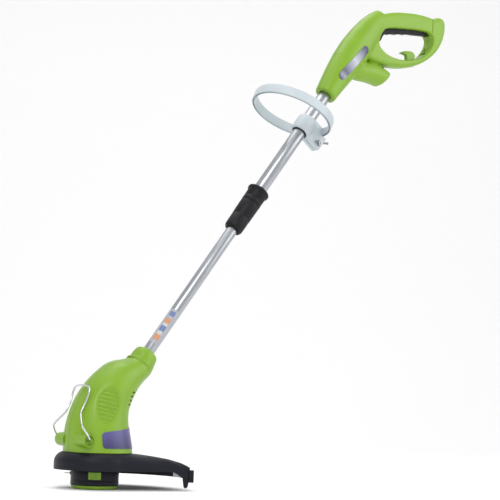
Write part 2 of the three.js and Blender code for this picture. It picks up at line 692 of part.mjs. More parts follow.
// The field: a laminated ring with two pole shoes.
function stator() {
  const top = STATOR_Z + STATOR_HEIGHT;
  const ring = solid(ringAbout(STATOR_RADIUS - 5, STATOR_RADIUS, STATOR_Z, top));
  const poles = join(
    solid(box(-STATOR_RADIUS + 2, STATOR_RADIUS - 2, -13, 13, STATOR_Z, top)),
  ).intersect(solid(disc(STATOR_RADIUS - 1, STATOR_Z, top)));
  return ring.add(poles).subtract(solid(disc(STATOR_BORE, STATOR_Z - 5, top + 5)));
}
piece("motor_stator", stator(), STEEL, head);
for (const [i, side] of [-1, 1].entries()) {
  const reach = [11, 27].map((y) => y * side).sort((a, b) => a - b);
  piece(`carbon_brush_${i + 1}`, box(-4, 4, ...reach, 141, 148), BLACK, head);
}

const ROTOR_GAP = 1;
piece("motor_shaft", disc(MOTOR_SHAFT_RADIUS, 33, BRACKET_Z + 7, 16), STEEL, rotor);
function armature() {
  const low = STATOR_Z + 2;
  const high = STATOR_Z + 40;
  const bore = MOTOR_SHAFT_RADIUS + GAP;
  let core = solid(ringAbout(bore, STATOR_BORE - ROTOR_GAP - 0.5, low, high));
  for (let i = 0; i < 6; i++) {
    const slot = box(13, 20, -1, 1, low - 1, high + 1).rotateZ((i * Math.PI) / 3);
    core = core.subtract(solid(slot));
  }
  return core;
}
piece("motor_armature", armature(), STEEL, rotor);
piece("commutator", ringAbout(
  MOTOR_SHAFT_RADIUS + GAP, 9.8, STATOR_Z + 42, STATOR_Z + 56, 20,
), COPPER, rotor);

function coolingFan() {
  const low = LOWER_BEARING_Z + 9;
  const hub = solid(ringAbout(MOTOR_SHAFT_RADIUS + GAP, 8, low, low + 8, 20));
  const plate = solid(ringAbout(MOTOR_SHAFT_RADIUS + GAP, FAN_RADIUS, low, low + 1.5));
  let shape = join(hub, plate);
  for (let i = 0; i < 6; i++) {
    const blade = box(7, FAN_RADIUS - 1, -0.8, 0.8, low + 1, low + 8).rotateZ((i * Math.PI) / 3);
    shape = shape.add(solid(blade));
  }
  return shape;
}
piece("cooling_fan", coolingFan(), BLACK, rotor);

// ================================================================ cutting head
const TAB_LOW = TAB_Z - 0.6;
const EYELET_Z = 26;
const EYELET_RADIUS = 3.1;

function drum() {
  const bore = MOTOR_SHAFT_RADIUS + GAP;
  const inside = DRUM_RADIUS - DRUM_WALL;
  let shape = solid(turned([
    [bore, DRUM_TOP_Z - 4], [inside, DRUM_TOP_Z - 4], [inside, DRUM_FOOT_Z],
    [DRUM_RADIUS - 0.4, DRUM_FOOT_Z], [DRUM_RADIUS, DRUM_FOOT_Z + 2],
    [DRUM_RADIUS, DRUM_TOP_Z - 3], [DRUM_RADIUS - 3, DRUM_TOP_Z],
    [10, DRUM_TOP_Z], [9, DRUM_TOP_Z + 8], [bore, DRUM_TOP_Z + 8],
  ], 40));
  const half = TAB_WIDTH / 2 + RUN;
  const window = box(-half, half, -60, 60, TAB_LOW, TAB_Z + TAB_HEIGHT + RUN);
  const eyelet = rod(
    new THREE.Vector3(-60, 0, EYELET_Z), new THREE.Vector3(-30, 0, EYELET_Z), EYELET_RADIUS + GAP,
  );
  return shape.subtract(solid(window)).subtract(solid(eyelet));
}
piece("spool_drum", drum(), BLACK, rotor);

function ferrule() {
  const at = (x) => new THREE.Vector3(x, 0, EYELET_Z);
  const collar = rod(at(-DRUM_RADIUS + 4), at(-DRUM_RADIUS - 1.4), EYELET_RADIUS, 16);
  const bore = rod(at(-DRUM_RADIUS + 9), at(-DRUM_RADIUS - 9), LINE_RADIUS + 0.5, 12);
  return solid(collar).subtract(solid(bore));
}
piece("line_eyelet", ferrule(), STEEL, rotor);
piece("line_end", rod(
  new THREE.Vector3(-DRUM_RADIUS + 6, 0, EYELET_Z),
  new THREE.Vector3(-DRUM_RADIUS - 11, 0, EYELET_Z), LINE_RADIUS, 8,
), NYLON, rotor);
piece("drum_nut", solid(disc(7.4, 35.6, DRUM_TOP_Z - 4 - GAP, 6)).subtract(
  solid(disc(MOTOR_SHAFT_RADIUS + GAP, 30, 50, 16)),
), STEEL, rotor);
piece("spool_spring", coil(10.5, 0.9, 30, DRUM_TOP_Z - 4.6, 3), STEEL, rotor);

const SPOOL_LOW = CAP_HEIGHT + 2.5;
const SPOOL_HIGH = 29;
const CAP_HUB_RADIUS = 8;
piece("line_spool", turned([
  [CAP_HUB_RADIUS + RUN, SPOOL_LOW], [SPOOL_RADIUS, SPOOL_LOW], [SPOOL_RADIUS, SPOOL_LOW + 2],
  [SPOOL_CORE_RADIUS, SPOOL_LOW + 2], [SPOOL_CORE_RADIUS, SPOOL_HIGH - 2],
  [SPOOL_RADIUS, SPOOL_HIGH - 2], [SPOOL_RADIUS, SPOOL_HIGH], [CAP_HUB_RADIUS + RUN, SPOOL_HIGH],
]), GREEN, rotor);
piece("line_winding", ringAbout(
  SPOOL_CORE_RADIUS + GAP, SPOOL_RADIUS - 3, SPOOL_LOW + 2 + GAP, SPOOL_HIGH - 2 - GAP,
), NYLON, rotor);

// The cap's two arms run up inside the drum, under the tabs that latch it.
function spoolCap() {
  let shape = solid(turned([
    [0, 0], [CAP_RADIUS - 6, 0], [CAP_RADIUS - 1.6, 1.8], [CAP_RADIUS, CAP_HEIGHT - 1.5],
    [CAP_RADIUS, CAP_HEIGHT], [CAP_HUB_RADIUS, CAP_HEIGHT],
    [CAP_HUB_RADIUS, SPOOL_HIGH - 4], [0, SPOOL_HIGH - 4],
  ], 40));
  const inside = DRUM_RADIUS - DRUM_WALL - GAP;
  const arms = solid(ringAbout(inside - 3, inside, CAP_HEIGHT - 1, TAB_Z - GAP, 40))
    .intersect(solid(box(-9, 9, -60, 60, 0, 40)));
  return shape.add(arms);
}
piece("spool_cap", spoolCap(), GREEN, rotor);

function capTab(side) {
  const block = ringAbout(TAB_RADIUS - TAB_DEPTH, TAB_RADIUS, TAB_Z, TAB_Z + TAB_HEIGHT, 40);
  const window = box(-TAB_WIDTH / 2, TAB_WIDTH / 2, ...(side < 0 ? [-60, 0] : [0, 60]), 0, 60);
  return solid(block).intersect(solid(window));
}
piece("cap_tab_1", capTab(-1), GREEN, rotor);
piece("cap_tab_2", capTab(1), GREEN, rotor);

// ================================================================ guard
// Its plan: a round collar in front of the spool, straight sides, and an arc at the rear.
function guardPlan() {
  const plan = new THREE.Path();
  const rim = (angle, radius) => [radius * Math.cos(angle), radius * Math.sin(angle)];
  const corner = 0.05;
  const near = rim(GUARD_NEAR_ANGLE, GUARD_REACH - 8);
  const far = rim(GUARD_FAR_ANGLE, GUARD_REACH - 8);
  plan.absarc(0, 0, GUARD_REACH, GUARD_NEAR_ANGLE + corner, GUARD_FAR_ANGLE - corner, false);
  plan.quadraticCurveTo(...rim(GUARD_FAR_ANGLE, GUARD_REACH), ...far);
  plan.absarc(0, 0, GUARD_FRONT_RADIUS, degToRad(84), degToRad(276), false);
  plan.lineTo(...near);
  plan.quadraticCurveTo(
    ...rim(GUARD_NEAR_ANGLE, GUARD_REACH),
    ...rim(GUARD_NEAR_ANGLE + corner, GUARD_REACH),
  );
  return plan.getSpacedPoints(52).slice(0, 52);
}

function guardDish() {
  const plan = guardPlan();
  const inward = (distance) => grown(plan, -distance);
  const reach = (p) => Math.hypot(p.x, p.y);
  // 0 on the front collar and sides, 1 on the rear arc
  const rearness = (p) => THREE.MathUtils.smoothstep(reach(p), GUARD_REACH - 30, GUARD_REACH - 4);
  const lowZ = (p) => THREE.MathUtils.lerp(GUARD_SIDE_LOW_Z, GUARD_REAR_LOW_Z, rearness(p));
  const onCircle = (radius, z) => plan.map((p) => {
    const k = radius / reach(p);
    return new THREE.Vector3(p.x * k, p.y * k, z);
  });
  const between = (share, drop, sink) => plan.map((p, i) => {
    const edge = inward(sink)[i];
    const k = hubRim / reach(edge);
    const far = reach(edge) - hubRim;
    const radius = hubRim + far * share;
    const z = GUARD_TOP_Z - 0.4 - drop * (1 + 0.2 * rearness(p)) - sink;
    return new THREE.Vector3((edge.x / reach(edge)) * radius, (edge.y / reach(edge)) * radius, z);
  });
  const rimRing = (sink, heightOf) => inward(sink).map(
    (p, i) => new THREE.Vector3(p.x, p.y, heightOf(plan[i])),
  );
  const hubRim = 61.5;
  const wall = GUARD_WALL;
  return skin([
    onCircle(GUARD_HUB_RADIUS, GUARD_TOP_Z),
    onCircle(hubRim, GUARD_TOP_Z),
    between(0.45, 3.5, 0),
    between(0.8, 8.5, 0),
    rimRing(0, () => 47),
    rimRing(0, lowZ),
    rimRing(wall, lowZ),
    rimRing(wall, () => 46),
    between(0.8, 8.5, wall),
    between(0.45, 3.5, wall),
    onCircle(hubRim, GUARD_TOP_Z - wall),
    onCircle(GUARD_HUB_RADIUS, GUARD_TOP_Z - wall),
  ], true);
}

// The near end of the rear arc drops as a flange, which carries the line cutter.
const CUTTER_RADIUS = GUARD_REACH - 8;
const CUTTER_Z = 33;
function atGuardEnd(shape) {
  return shape.rotateZ(GUARD_NEAR_ANGLE);
}
function guard() {
  const flange = atGuardEnd(box(
    GUARD_REACH - 14, GUARD_REACH - 1, 2, 6, GUARD_FLANGE_LOW_Z, 44,
  ));
  const heel = atGuardEnd(box(GUARD_REACH - 2, GUARD_REACH + 7, 0.5, 9, 15, 39));
  let shape = join(solid(guardDish()), solid(flange), solid(heel));
  for (const [x, y] of GUARD_SCREW_PLACES) {
    shape = shape.subtract(solid(disc(SCREW_RADIUS + GAP, 50, 80, 12).translate(x, y, 0)));
  }
  const hole = rod(
    new THREE.Vector3(CUTTER_RADIUS, -5, CUTTER_Z), new THREE.Vector3(CUTTER_RADIUS, 15, CUTTER_Z),
    SCREW_RADIUS + GAP, 12,
  );
  return shape.subtract(solid(atGuardEnd(hole)));
}
piece("guard", guard(), BLACK, head);
GUARD_SCREW_PLACES.forEach(([x, y], i) => {
  const seat = GUARD_TOP_Z - GUARD_WALL - GAP;
  const screwShape = turned([
    [0, seat - 2.4], [SCREW_HEAD_RADIUS, seat - 2.4], [SCREW_HEAD_RADIUS, seat],
    [SCREW_RADIUS, seat], [SCREW_RADIUS, MOTOR_PLATE_Z + 3.5], [0, MOTOR_PLATE_Z + 3.5],
  ], 12).translate(x, y, 0);
  piece(`guard_screw_${i + 1}`, screwShape, STEEL, head);
});

function lineCutter() {
  const blade = solid(atGuardEnd(box(
    GUARD_REACH - 30, GUARD_REACH - GUARD_WALL - 3.5, 6 + GAP, 7.5 + GAP, CUTTER_Z - 9, CUTTER_Z + 6,
  )));
  const hole = rod(
    new THREE.Vector3(CUTTER_RADIUS, -5, CUTTER_Z), new THREE.Vector3(CUTTER_RADIUS, 15, CUTTER_Z),
    SCREW_RADIUS + GAP, 12,
  );
  return blade.subtract(solid(atGuardEnd(hole)));
}
const cutterBlade = lineCutter();
piece("line_cutter", cutterBlade, STEEL, head);
function cutterScrew() {
  const at = (y) => new THREE.Vector3(CUTTER_RADIUS, y, CUTTER_Z);
  const shank = rod(at(1), at(8.5), SCREW_RADIUS, 10);
  const top = rod(at(7.5 + 2 * GAP), at(9.6), SCREW_HEAD_RADIUS, 14);
  return join(solid(atGuardEnd(shank)), solid(atGuardEnd(top)));
}
piece("cutter_screw", cutterScrew(), STEEL, head);

// ================================================================ wire guard
function wireGuard() {
  const side = [
    [PIVOT.x, PIVOT.y - PIVOT_DISH_DEPTH - 4, PIVOT.z],
    [PIVOT.x, PIVOT.y - 0.5, PIVOT.z],
    [PIVOT.x - 2, PIVOT.y + 3.2, PIVOT.z + 3],
    [PIVOT.x - 14.3, PIVOT.y + 0.6, PIVOT.z + 22],
    [PIVOT.x - 15, PIVOT.y - 1.2, PIVOT.z + 25],
    [PIVOT.x - 5, 25.5, PIVOT.z + 48.5],
    [PIVOT.x - 3.6, 25, PIVOT.z + 51.5],
    [PIVOT.x + 3, 25, PIVOT.z + 64.5],
    [PIVOT.x + 10.5, 25, PIVOT.z + 90],
    [PIVOT.x + 10.9, 21, PIVOT.z + 93.3],
  ];
  const near = side.map(([x, y, z]) => new THREE.Vector3(x, -y, z));
  const far = side.map(([x, y, z]) => new THREE.Vector3(x, y, z)).reverse();
  const path = new THREE.CatmullRomCurve3([...near, ...far], false, "centripetal");
  return wire(path, WIRE_RADIUS, 60, 6);
}
piece("wire_guard", wireGuard(), CHROME, head);

// ================================================================ rear handle
// Points are [x, z] from the grip's origin on the shaft's axis.
const HANDLE_OUTLINE = smoothOutline([
  [96, 84], [140, 76], [168, 76.5], [200, 80], [228, 87.5], [256, 100], [279, 115.5],
  [295, 131], [307, 149], [314, 167], [316.5, 184], [314.5, 197], [306, 204], [294, 203.5],
  [286, 198.5], [266, 200.5], [238, 201], [210, 199], [183, 195.5], [156, 189.5], [120, 176],
  [92, 150], [84, 115],
], 40);
const OPENING_OUTLINE = smoothOutline([
  [126, 117], [139, 104.5], [160, 97], [186, 95], [213, 98], [239, 105], [259, 117],
  [273, 133], [280, 149], [276, 160], [262, 166], [231, 165.5], [184, 160.5], [150, 155],
  [138, 148], [129, 134],
], 28);
const BARREL_SECTIONS = [
  { at: 0, front: 21.5, rear: 21.5, width: HANDLE_FOOT_RADIUS },
  { at: 25, front: 26, rear: 23, width: 23.5 },
  { at: 55, front: 31, rear: 26, width: 25.5 },
  { at: 90, front: 35.5, rear: 29, width: 27 },
  { at: 125, front: 37, rear: 31, width: 26.5 },
  { at: 160, front: 35, rear: 31, width: 24 },
  { at: 195, front: 30, rear: 29, width: 20.5 },
  { at: 222, front: 22, rear: 25, width: 17.5 },
  { at: 240, front: 14, rear: 18, width: 13.5 },
];

function handlePoint(station, behind) {
  return new THREE.Vector3()
    .addScaledVector(ALONG_SHAFT, station - GRIP_RISE)
    .addScaledVector(BEHIND_SHAFT, behind);
}
function barrel(inset, first, last) {
  const rings = BARREL_SECTIONS.map(({ at, front, rear, width }) => {
    const station = THREE.MathUtils.clamp(at, first, last);
    const { x, z } = handlePoint(station, (rear - front) / 2);
    return oval({ x, z, tilt: SHAFT_LEAN, depth: (front + rear) / 2, width }, inset);
  });
  return solid(skin(rings));
}
// The hood over the cord inlet, a short barrel that bends down towards its mouth.
function inletHood(inset, closed = false) {
  const section = (x, z, drop, radius) => oval({
    x, z, tilt: Math.PI / 2 + degToRad(drop), depth: radius, width: radius, square: 2,
  }, inset);
  const rings = [
    section(80, 58, 4, INLET_RADIUS),
    section(106, 57, 12, INLET_RADIUS),
    section(130, 54, 26, INLET_RADIUS + 0.5),
    section(INLET_MOUTH.x, INLET_MOUTH.z, 40, INLET_RADIUS),
  ];
  return solid(skin(closed ? rings.slice(0, 3) : rings));
}

const HANDLE_SCREWS = [
  { x: 62, z: 84, seat: 20 },
  { x: 116, z: 158, seat: 19 },
  { x: 303, z: 188, seat: 12 },
];
const HOOK_HALF_WIDTH = 5;
const HOOK_OUTLINE = smoothOutline([
  [214, 88], [232, 88], [232, 100], [237, 112], [228, 119.5], [208, 118], [198, 112.5],
  [206, 111], [213, 109], [214, 100],
], 30);

function handleForm(inset) {
  const last = BARREL_SECTIONS.at(-1).at;
  const loop = solid(prism(
    inset ? grown(HANDLE_OUTLINE, -inset) : HANDLE_OUTLINE,
    -GRIP_HALF_WIDTH + inset, GRIP_HALF_WIDTH - inset, 6,
  ));
  const opening = solid(prism(
    inset ? grown(OPENING_OUTLINE, inset) : OPENING_OUTLINE, -60, 60,
  ));
  const body = barrel(inset, inset > 0 ? 8 : 0, last - Math.max(inset, 0));
  return join(loop, body, inletHood(inset, inset > 0)).subtract(opening);
}

// The trigger hangs from its rear pin; its front end runs down the opening's front wall.
const TRIGGER_OUTLINE = smoothOutline([
  [131.5, 127], [136.5, 127.5], [143, 138.5], [150, 144.5], [163, 146], [170, 148.5],
  [184, 149.5], [192, 152.5], [206, 153], [214, 155.5], [230, 156.5], [250, 158.5],
  [272, 161], [274, 168], [270, 174], [240, 173], [200, 170], [165, 167.5], [148, 163],
  [137, 148], [130, 133],
], 38);
function triggerAt(turn, margin) {
  const outline = margin ? grown(TRIGGER_OUTLINE, margin) : TRIGGER_OUTLINE;
  const half = TRIGGER_HALF_WIDTH + margin;
  return prism(outline, -half, half, margin ? 0 : 1.5)
    .translate(-TRIGGER_PIVOT.x, 0, -TRIGGER_PIVOT.z)
    .rotateY(turn)
    .translate(TRIGGER_PIVOT.x, 0, TRIGGER_PIVOT.z);
}

const PLUNGER = { x: 186, low: 170.2, high: 180.6, radius: 3 };
const SWITCH = { x0: 172, x1: 204, low: 178.5, high: 188, half: 8 };
const SPRING_X = 225;

function handleShell() {
  const hollow = handleForm(HANDLE_WALL);
  const seat = solid(disc(BLOCK_RADIUS + GAP, -BLOCK_LENGTH - 8, 5)
    .rotateY(inlet.rotation.y).translate(INLET_MOUTH.x, 0, INLET_MOUTH.z));
  let shape = handleForm(0).subtract(hollow).subtract(seat);
  for (const station of [14, 50]) {
    const rib = solid(rod(handlePoint(station, 0), handlePoint(station + 3, 0), 60, 24));
    shape = shape.add(rib.intersect(handleForm(HANDLE_WALL / 2)));
  }
  const posts = join(...HANDLE_SCREWS.map((at) => screwPost(at, 40)));
  shape = shape.add(posts.intersect(handleForm(1)));
  const lugs = solid(crossRod(TRIGGER_PIVOT.x, TRIGGER_PIVOT.z, -16, 16, 5.5, 18));
  shape = shape.add(lugs.intersect(handleForm(1)));
  for (const share of [0, 0.5, 1]) {
    shape = shape.subtract(solid(triggerAt(share * TRIGGER_TRAVEL, 1)));
  }
  shape = shape.subtract(solid(crossRod(
    TRIGGER_PIVOT.x, TRIGGER_PIVOT.z, -12.5, 12.5, TRIGGER_PIN_RADIUS + GAP, 14,
  )));
  for (const at of HANDLE_SCREWS) shape = shape.subtract(screwHole(at));
  const hookSeat = HOOK_HALF_WIDTH + GAP;
  shape = shape.subtract(solid(prism(grown(HOOK_OUTLINE, GAP), -hookSeat, hookSeat)));
  const slot = box(262, 330, -9, 9, -4.5, 4.5).translate(-262, 0, 0)
    .rotateY(degToRad(32)).translate(258, 0, 124);
  shape = shape.subtract(solid(slot));
  return shape.subtract(solid(rod(
    handlePoint(-20, 0), handlePoint(UPPER_TUBE_IN_HANDLE + 2, 0), UPPER_TUBE_RADIUS + GAP, 32,
  )));
}
const wholeHandle = handleShell();
piece("handle_near", mainBody(wholeHandle.intersect(NEAR_HALF)), GREEN, handle);
piece("handle_far", mainBody(wholeHandle.intersect(FAR_HALF)), GREEN, handle);
HANDLE_SCREWS.forEach((at, i) => piece(`handle_screw_${i + 1}`, screw(at), STEEL, handle));

function handleBadge() {
  const middle = new THREE.Vector2(48, 64);
  const bar = new THREE.Shape();
  bar.absarc(43, 0, 8.5, -Math.PI / 2, Math.PI / 2, false);
  bar.absarc(-43, 0, 8.5, Math.PI / 2, 1.5 * Math.PI, false);
  const outline = bar.getPoints(6).map((p) => p.rotateAround(new THREE.Vector2(), degToRad(46)).add(middle));
  const band = handleForm(-1.1).subtract(handleForm(-GAP));
  return band.intersect(solid(prism(outline, -60, -10)));
}
piece("handle_badge", handleBadge(), SLATE, handle);

function trigger() {
  const hole = crossRod(TRIGGER_PIVOT.x, TRIGGER_PIVOT.z, -20, 20, TRIGGER_PIN_RADIUS + GAP, 14);
  return solid(triggerAt(0, 0)).subtract(solid(hole));
}
piece("trigger", trigger(), BLACK, handle);
piece("trigger_pin", crossRod(
  TRIGGER_PIVOT.x, TRIGGER_PIVOT.z, -12, 12, TRIGGER_PIN_RADIUS, 14,
), STEEL, handle);
piece("trigger_spring", coil(3.6, 0.6, 173.2, 194, 5).translate(SPRING_X, 0, 0), STEEL, handle);
piece("switch_plunger", disc(PLUNGER.radius, PLUNGER.low, PLUNGER.high, 14).translate(
  PLUNGER.x, 0, 0,
), BLACK, handle);
piece("switch_body", solid(box(
  SWITCH.x0, SWITCH.x1, -SWITCH.half, SWITCH.half, SWITCH.low, SWITCH.high,
)).subtract(solid(disc(PLUNGER.radius + GAP, SWITCH.low - 2, SWITCH.high - 1, 14).translate(
  PLUNGER.x, 0, 0,
))), BLACK, handle);

// A post on the lower rail that a loop of cord hangs from.
piece("cord_hook", prism(HOOK_OUTLINE, -HOOK_HALF_WIDTH, HOOK_HALF_WIDTH, 1.2), GREEN, handle);

// ================================================================ cord inlet
const SOCKET_DEPTH = 14;
function inletBlock() {
  const body = disc(BLOCK_RADIUS, -2 - BLOCK_LENGTH, -2);
  const socket = disc(1, -SOCKET_DEPTH - 2, 2, 24).scale(9, 13.5, 1);
  let shape = solid(body).subtract(solid(socket));
  for (const side of [-1, 1]) shape = shape.subtract(solid(contactBlade(side, GAP)));
  return shape;
}
function contactBlade(side, margin) {
  const y = (side * BLADE_SPACING) / 2;
  return box(
    -3.2 - margin, 3.2 + margin, y - 0.8 - margin, y + 0.8 + margin,
    -SOCKET_DEPTH - 4.5 - margin, -5 + margin,
  );
}
piece("inlet_block", inletBlock(), BLACK, inlet);
piece("inlet_blade_1", contactBlade(-1, 0), BRASS, inlet);
piece("inlet_blade_2", contactBlade(1, 0), BRASS, inlet);

export default trimmer;
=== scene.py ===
import json
import math

import bmesh
import bpy
from mathutils import Matrix, Vector


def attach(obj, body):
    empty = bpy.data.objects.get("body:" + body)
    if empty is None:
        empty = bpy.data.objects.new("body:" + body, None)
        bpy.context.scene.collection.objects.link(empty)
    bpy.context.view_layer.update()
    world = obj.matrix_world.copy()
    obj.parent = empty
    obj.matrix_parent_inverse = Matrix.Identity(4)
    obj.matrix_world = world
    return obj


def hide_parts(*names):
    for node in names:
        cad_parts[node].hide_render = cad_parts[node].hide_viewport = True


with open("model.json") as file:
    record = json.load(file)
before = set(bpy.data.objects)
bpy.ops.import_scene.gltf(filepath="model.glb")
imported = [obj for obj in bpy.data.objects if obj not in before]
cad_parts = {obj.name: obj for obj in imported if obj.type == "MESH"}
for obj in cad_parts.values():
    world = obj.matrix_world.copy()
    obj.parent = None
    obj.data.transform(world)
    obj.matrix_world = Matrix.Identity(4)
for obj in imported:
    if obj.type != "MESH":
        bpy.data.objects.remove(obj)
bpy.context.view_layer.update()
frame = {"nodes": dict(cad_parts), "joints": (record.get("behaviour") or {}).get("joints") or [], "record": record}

# ---------------------------------------------------------------- lower tube
# The thin drawn aluminium tube that carries the motor head. It leaves the housing's neck and
# slides up inside the thicker tube. Stations are measured up the shaft from the spool's axis.
MM = 0.001
JOINTS = {joint["name"]: joint for joint in frame["joints"]}
SHAFT_AXIS = Vector(JOINTS["head_turn"]["axis"])
HEAD_TURN_STATION = 500
SHAFT_ORIGIN = Vector(JOINTS["head_turn"]["pos_m"]) - SHAFT_AXIS * HEAD_TURN_STATION * MM
BEHIND = Vector((SHAFT_AXIS.z, 0, -SHAFT_AXIS.x))
LEAN = math.atan2(SHAFT_AXIS.x, SHAFT_AXIS.z)


def on_shaft(station, behind=0.0, side=0.0):
    return SHAFT_ORIGIN + (SHAFT_AXIS * station + BEHIND * behind) * MM + Vector((0, side * MM, 0))


def mesh_piece(name, points, faces, material, sharp=38):
    mesh = bpy.data.meshes.new(name)
    mesh.from_pydata([tuple(p) for p in points], [], faces)
    mesh.materials.append(material)
    work = bmesh.new()
    work.from_mesh(mesh)
    bmesh.ops.remove_doubles(work, verts=work.verts, dist=1e-7)
    bmesh.ops.recalc_face_normals(work, faces=work.faces)
    work.to_mesh(mesh)
    work.free()
    mesh.shade_smooth()
    mesh.set_sharp_from_angle(angle=math.radians(sharp))
    piece = bpy.data.objects.new(name, mesh)
    bpy.context.scene.collection.objects.link(piece)
    return piece


def skin(name, rings, material, looped=False, sharp=38):
    count = len(rings[0])
    points = [p for ring in rings for p in ring]
    faces = []
    spans = len(rings) if looped else len(rings) - 1
    for i in range(spans):
        here, above = i * count, ((i + 1) % len(rings)) * count
        for j in range(count):
            k = (j + 1) % count
            faces.append((here + j, here + k, above + k, above + j))
    if not looped:
        faces.append(tuple(range(count)))
        faces.append(tuple(range((len(rings) - 1) * count, len(rings) * count)))
    return mesh_piece(name, points, faces, material, sharp)


# A turned shape: (radius, height) points in mm, about an axis through a centre in metres.
def turned(name, profile, centre, axis, material, segments=80, sharp=38):
    axis = Vector(axis).normalized()
    across = axis.orthogonal().normalized()
    side = axis.cross(across)
    rings = []
    for radius, height in profile:
        rings.append([
            centre + (axis * height + (across * math.cos(t) + side * math.sin(t)) * radius) * MM
            for t in (2 * math.pi * i / segments for i in range(segments))
        ])
    return skin(name, rings, material, looped=True, sharp=sharp)


def srgb(red, green, blue):
    def linear(v):
        v /= 255
        return v / 12.92 if v <= 0.04045 else ((v + 0.055) / 1.055) ** 2.4
    return (linear(red), linear(green), linear(blue), 1)


def shader(name, colour, roughness, metallic=0.0):
    material = bpy.data.materials.new(name)
    material.use_nodes = True
    bsdf = material.node_tree.nodes["Principled BSDF"]
    bsdf.inputs["Base Color"].default_value = colour
    bsdf.inputs["Roughness"].default_value = roughness
    bsdf.inputs["Metallic"].default_value = metallic
    return material, material.node_tree, bsdf


def noise(tree, vector, scale, detail=3.0):
    node = tree.nodes.new("ShaderNodeTexNoise")
    node.inputs["Scale"].default_value = scale
    node.inputs["Detail"].default_value = detail
    tree.links.new(vector, node.inputs["Vector"])
    return node.outputs["Fac"]


def ramp(tree, value, low, high, low_colour, high_colour):
    node = tree.nodes.new("ShaderNodeValToRGB")
    node.color_ramp.elements[0].position = low
    node.color_ramp.elements[1].position = high
    node.color_ramp.elements[0].color = low_colour
    node.color_ramp.elements[1].color = high_colour
    tree.links.new(value, node.inputs["Fac"])
    return node.outputs["Color"]


def grey(value):
    return (value, value, value, 1)


def shade_of(colour, factor):
    return (colour[0] * factor, colour[1] * factor, colour[2] * factor, 1)


def bump(tree, bsdf, height, strength, distance):
    node = tree.nodes.new("ShaderNodeBump")
    node.inputs["Strength"].default_value = strength
    node.inputs["Distance"].default_value = distance
    tree.links.new(height, node.inputs["Height"])
    tree.links.new(node.outputs["Normal"], bsdf.inputs["Normal"])


# Drawn aluminium: fine lengthwise draw lines and a faint cloud of handling marks.
def drawn_metal(name, colour, roughness):
    material, tree, bsdf = shader(name, colour, roughness, 1.0)
    place = tree.nodes.new("ShaderNodeTexCoord").outputs["Object"]
    turn = tree.nodes.new("ShaderNodeMapping")
    turn.inputs["Rotation"].default_value = (0, -LEAN, 0)
    tree.links.new(place, turn.inputs["Vector"])
    stretch = tree.nodes.new("ShaderNodeMapping")
    stretch.inputs["Scale"].default_value = (1, 1, 0.012)
    tree.links.new(turn.outputs["Vector"], stretch.inputs["Vector"])
    lines = noise(tree, stretch.outputs["Vector"], 2600)
    clouds = noise(tree, place, 24)
    rough = ramp(tree, lines, 0.3, 0.7, grey(roughness - 0.06), grey(roughness + 0.09))
    tint = ramp(tree, clouds, 0.3, 0.7, shade_of(colour, 0.9), colour)
    tree.links.new(rough, bsdf.inputs["Roughness"])
    tree.links.new(tint, bsdf.inputs["Base Color"])
    bump(tree, bsdf, lines, 0.25, 0.00004)
    return material


tube_metal = drawn_metal("drawn_aluminium", srgb(170, 173, 178), 0.3)
LOWER_TUBE_RADIUS = 11
TUBE_WALL = 1.5
LOWER_TUBE_FOOT = 125
LOWER_TUBE_HEAD = 700.3


def tube(name, radius, foot, head, material):
    bore = radius - TUBE_WALL
    profile = [
        (bore, foot), (radius - 0.3, foot), (radius, foot + 0.4), (radius, head - 0.4),
        (radius - 0.3, head), (bore, head),
    ]
    return turned(name, profile, SHAFT_ORIGIN, SHAFT_AXIS, material)


lower_tube = tube("lower_tube_skin", LOWER_TUBE_RADIUS, LOWER_TUBE_FOOT, LOWER_TUBE_HEAD, tube_metal)
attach(lower_tube, "head")
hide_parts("lower_tube")

# ---------------------------------------------------------------- safety sticker
# A clear film with plain coloured blocks, wrapped half round the lower tube's front. It is
# bonded on and its satin face lies almost flush with the metal.
STICKER_START, STICKER_END = 188, 266
film, film_tree, film_bsdf = shader("printed_film", srgb(172, 176, 180), 0.35)
film_place = film_tree.nodes.new("ShaderNodeTexCoord").outputs["UV"]
film_split = film_tree.nodes.new("ShaderNodeSeparateXYZ")
film_tree.links.new(film_place, film_split.inputs["Vector"])
film_bands = film_tree.nodes.new("ShaderNodeValToRGB")
film_bands.color_ramp.interpolation = "CONSTANT"
BANDS = (
    (0.0, srgb(158, 161, 166)), (0.08, srgb(206, 122, 40)), (0.24, srgb(188, 190, 192)),
    (0.34, srgb(64, 92, 158)), (0.5, srgb(188, 190, 192)), (0.58, srgb(206, 122, 40)),
    (0.72, srgb(158, 161, 166)), (0.8, srgb(64, 92, 158)), (0.93, srgb(158, 161, 166)),
)
for number, (place_at, band_colour) in enumerate(BANDS):
    if number < 2:
        stop = film_bands.color_ramp.elements[number]
    else:
        stop = film_bands.color_ramp.elements.new(place_at)
    stop.position = place_at
    stop.color = band_colour
film_tree.links.new(film_split.outputs["Y"], film_bands.inputs["Fac"])
film_block = film_tree.nodes.new("ShaderNodeValToRGB")
film_block.color_ramp.interpolation = "CONSTANT"
film_block.color_ramp.elements[0].color = grey(0)
film_block.color_ramp.elements[1].position = 0.3
film_block.color_ramp.elements[1].color = grey(0.75)
film_block.color_ramp.elements.new(0.66).color = grey(0)
film_tree.links.new(film_split.outputs["X"], film_block.inputs["Fac"])
film_mix = film_tree.nodes.new("ShaderNodeMix")
film_mix.data_type = "RGBA"
film_mix.inputs["A"].default_value = srgb(158, 161, 166)
film_tree.links.new(film_block.outputs["Color"], film_mix.inputs["Factor"])
film_tree.links.new(film_bands.outputs["Color"], film_mix.inputs["B"])
film_tree.links.new(film_mix.outputs["Result"], film_bsdf.inputs["Base Color"])
bump(film_tree, film_bsdf, noise(film_tree, film_place, 60), 0.1, 0.00003)

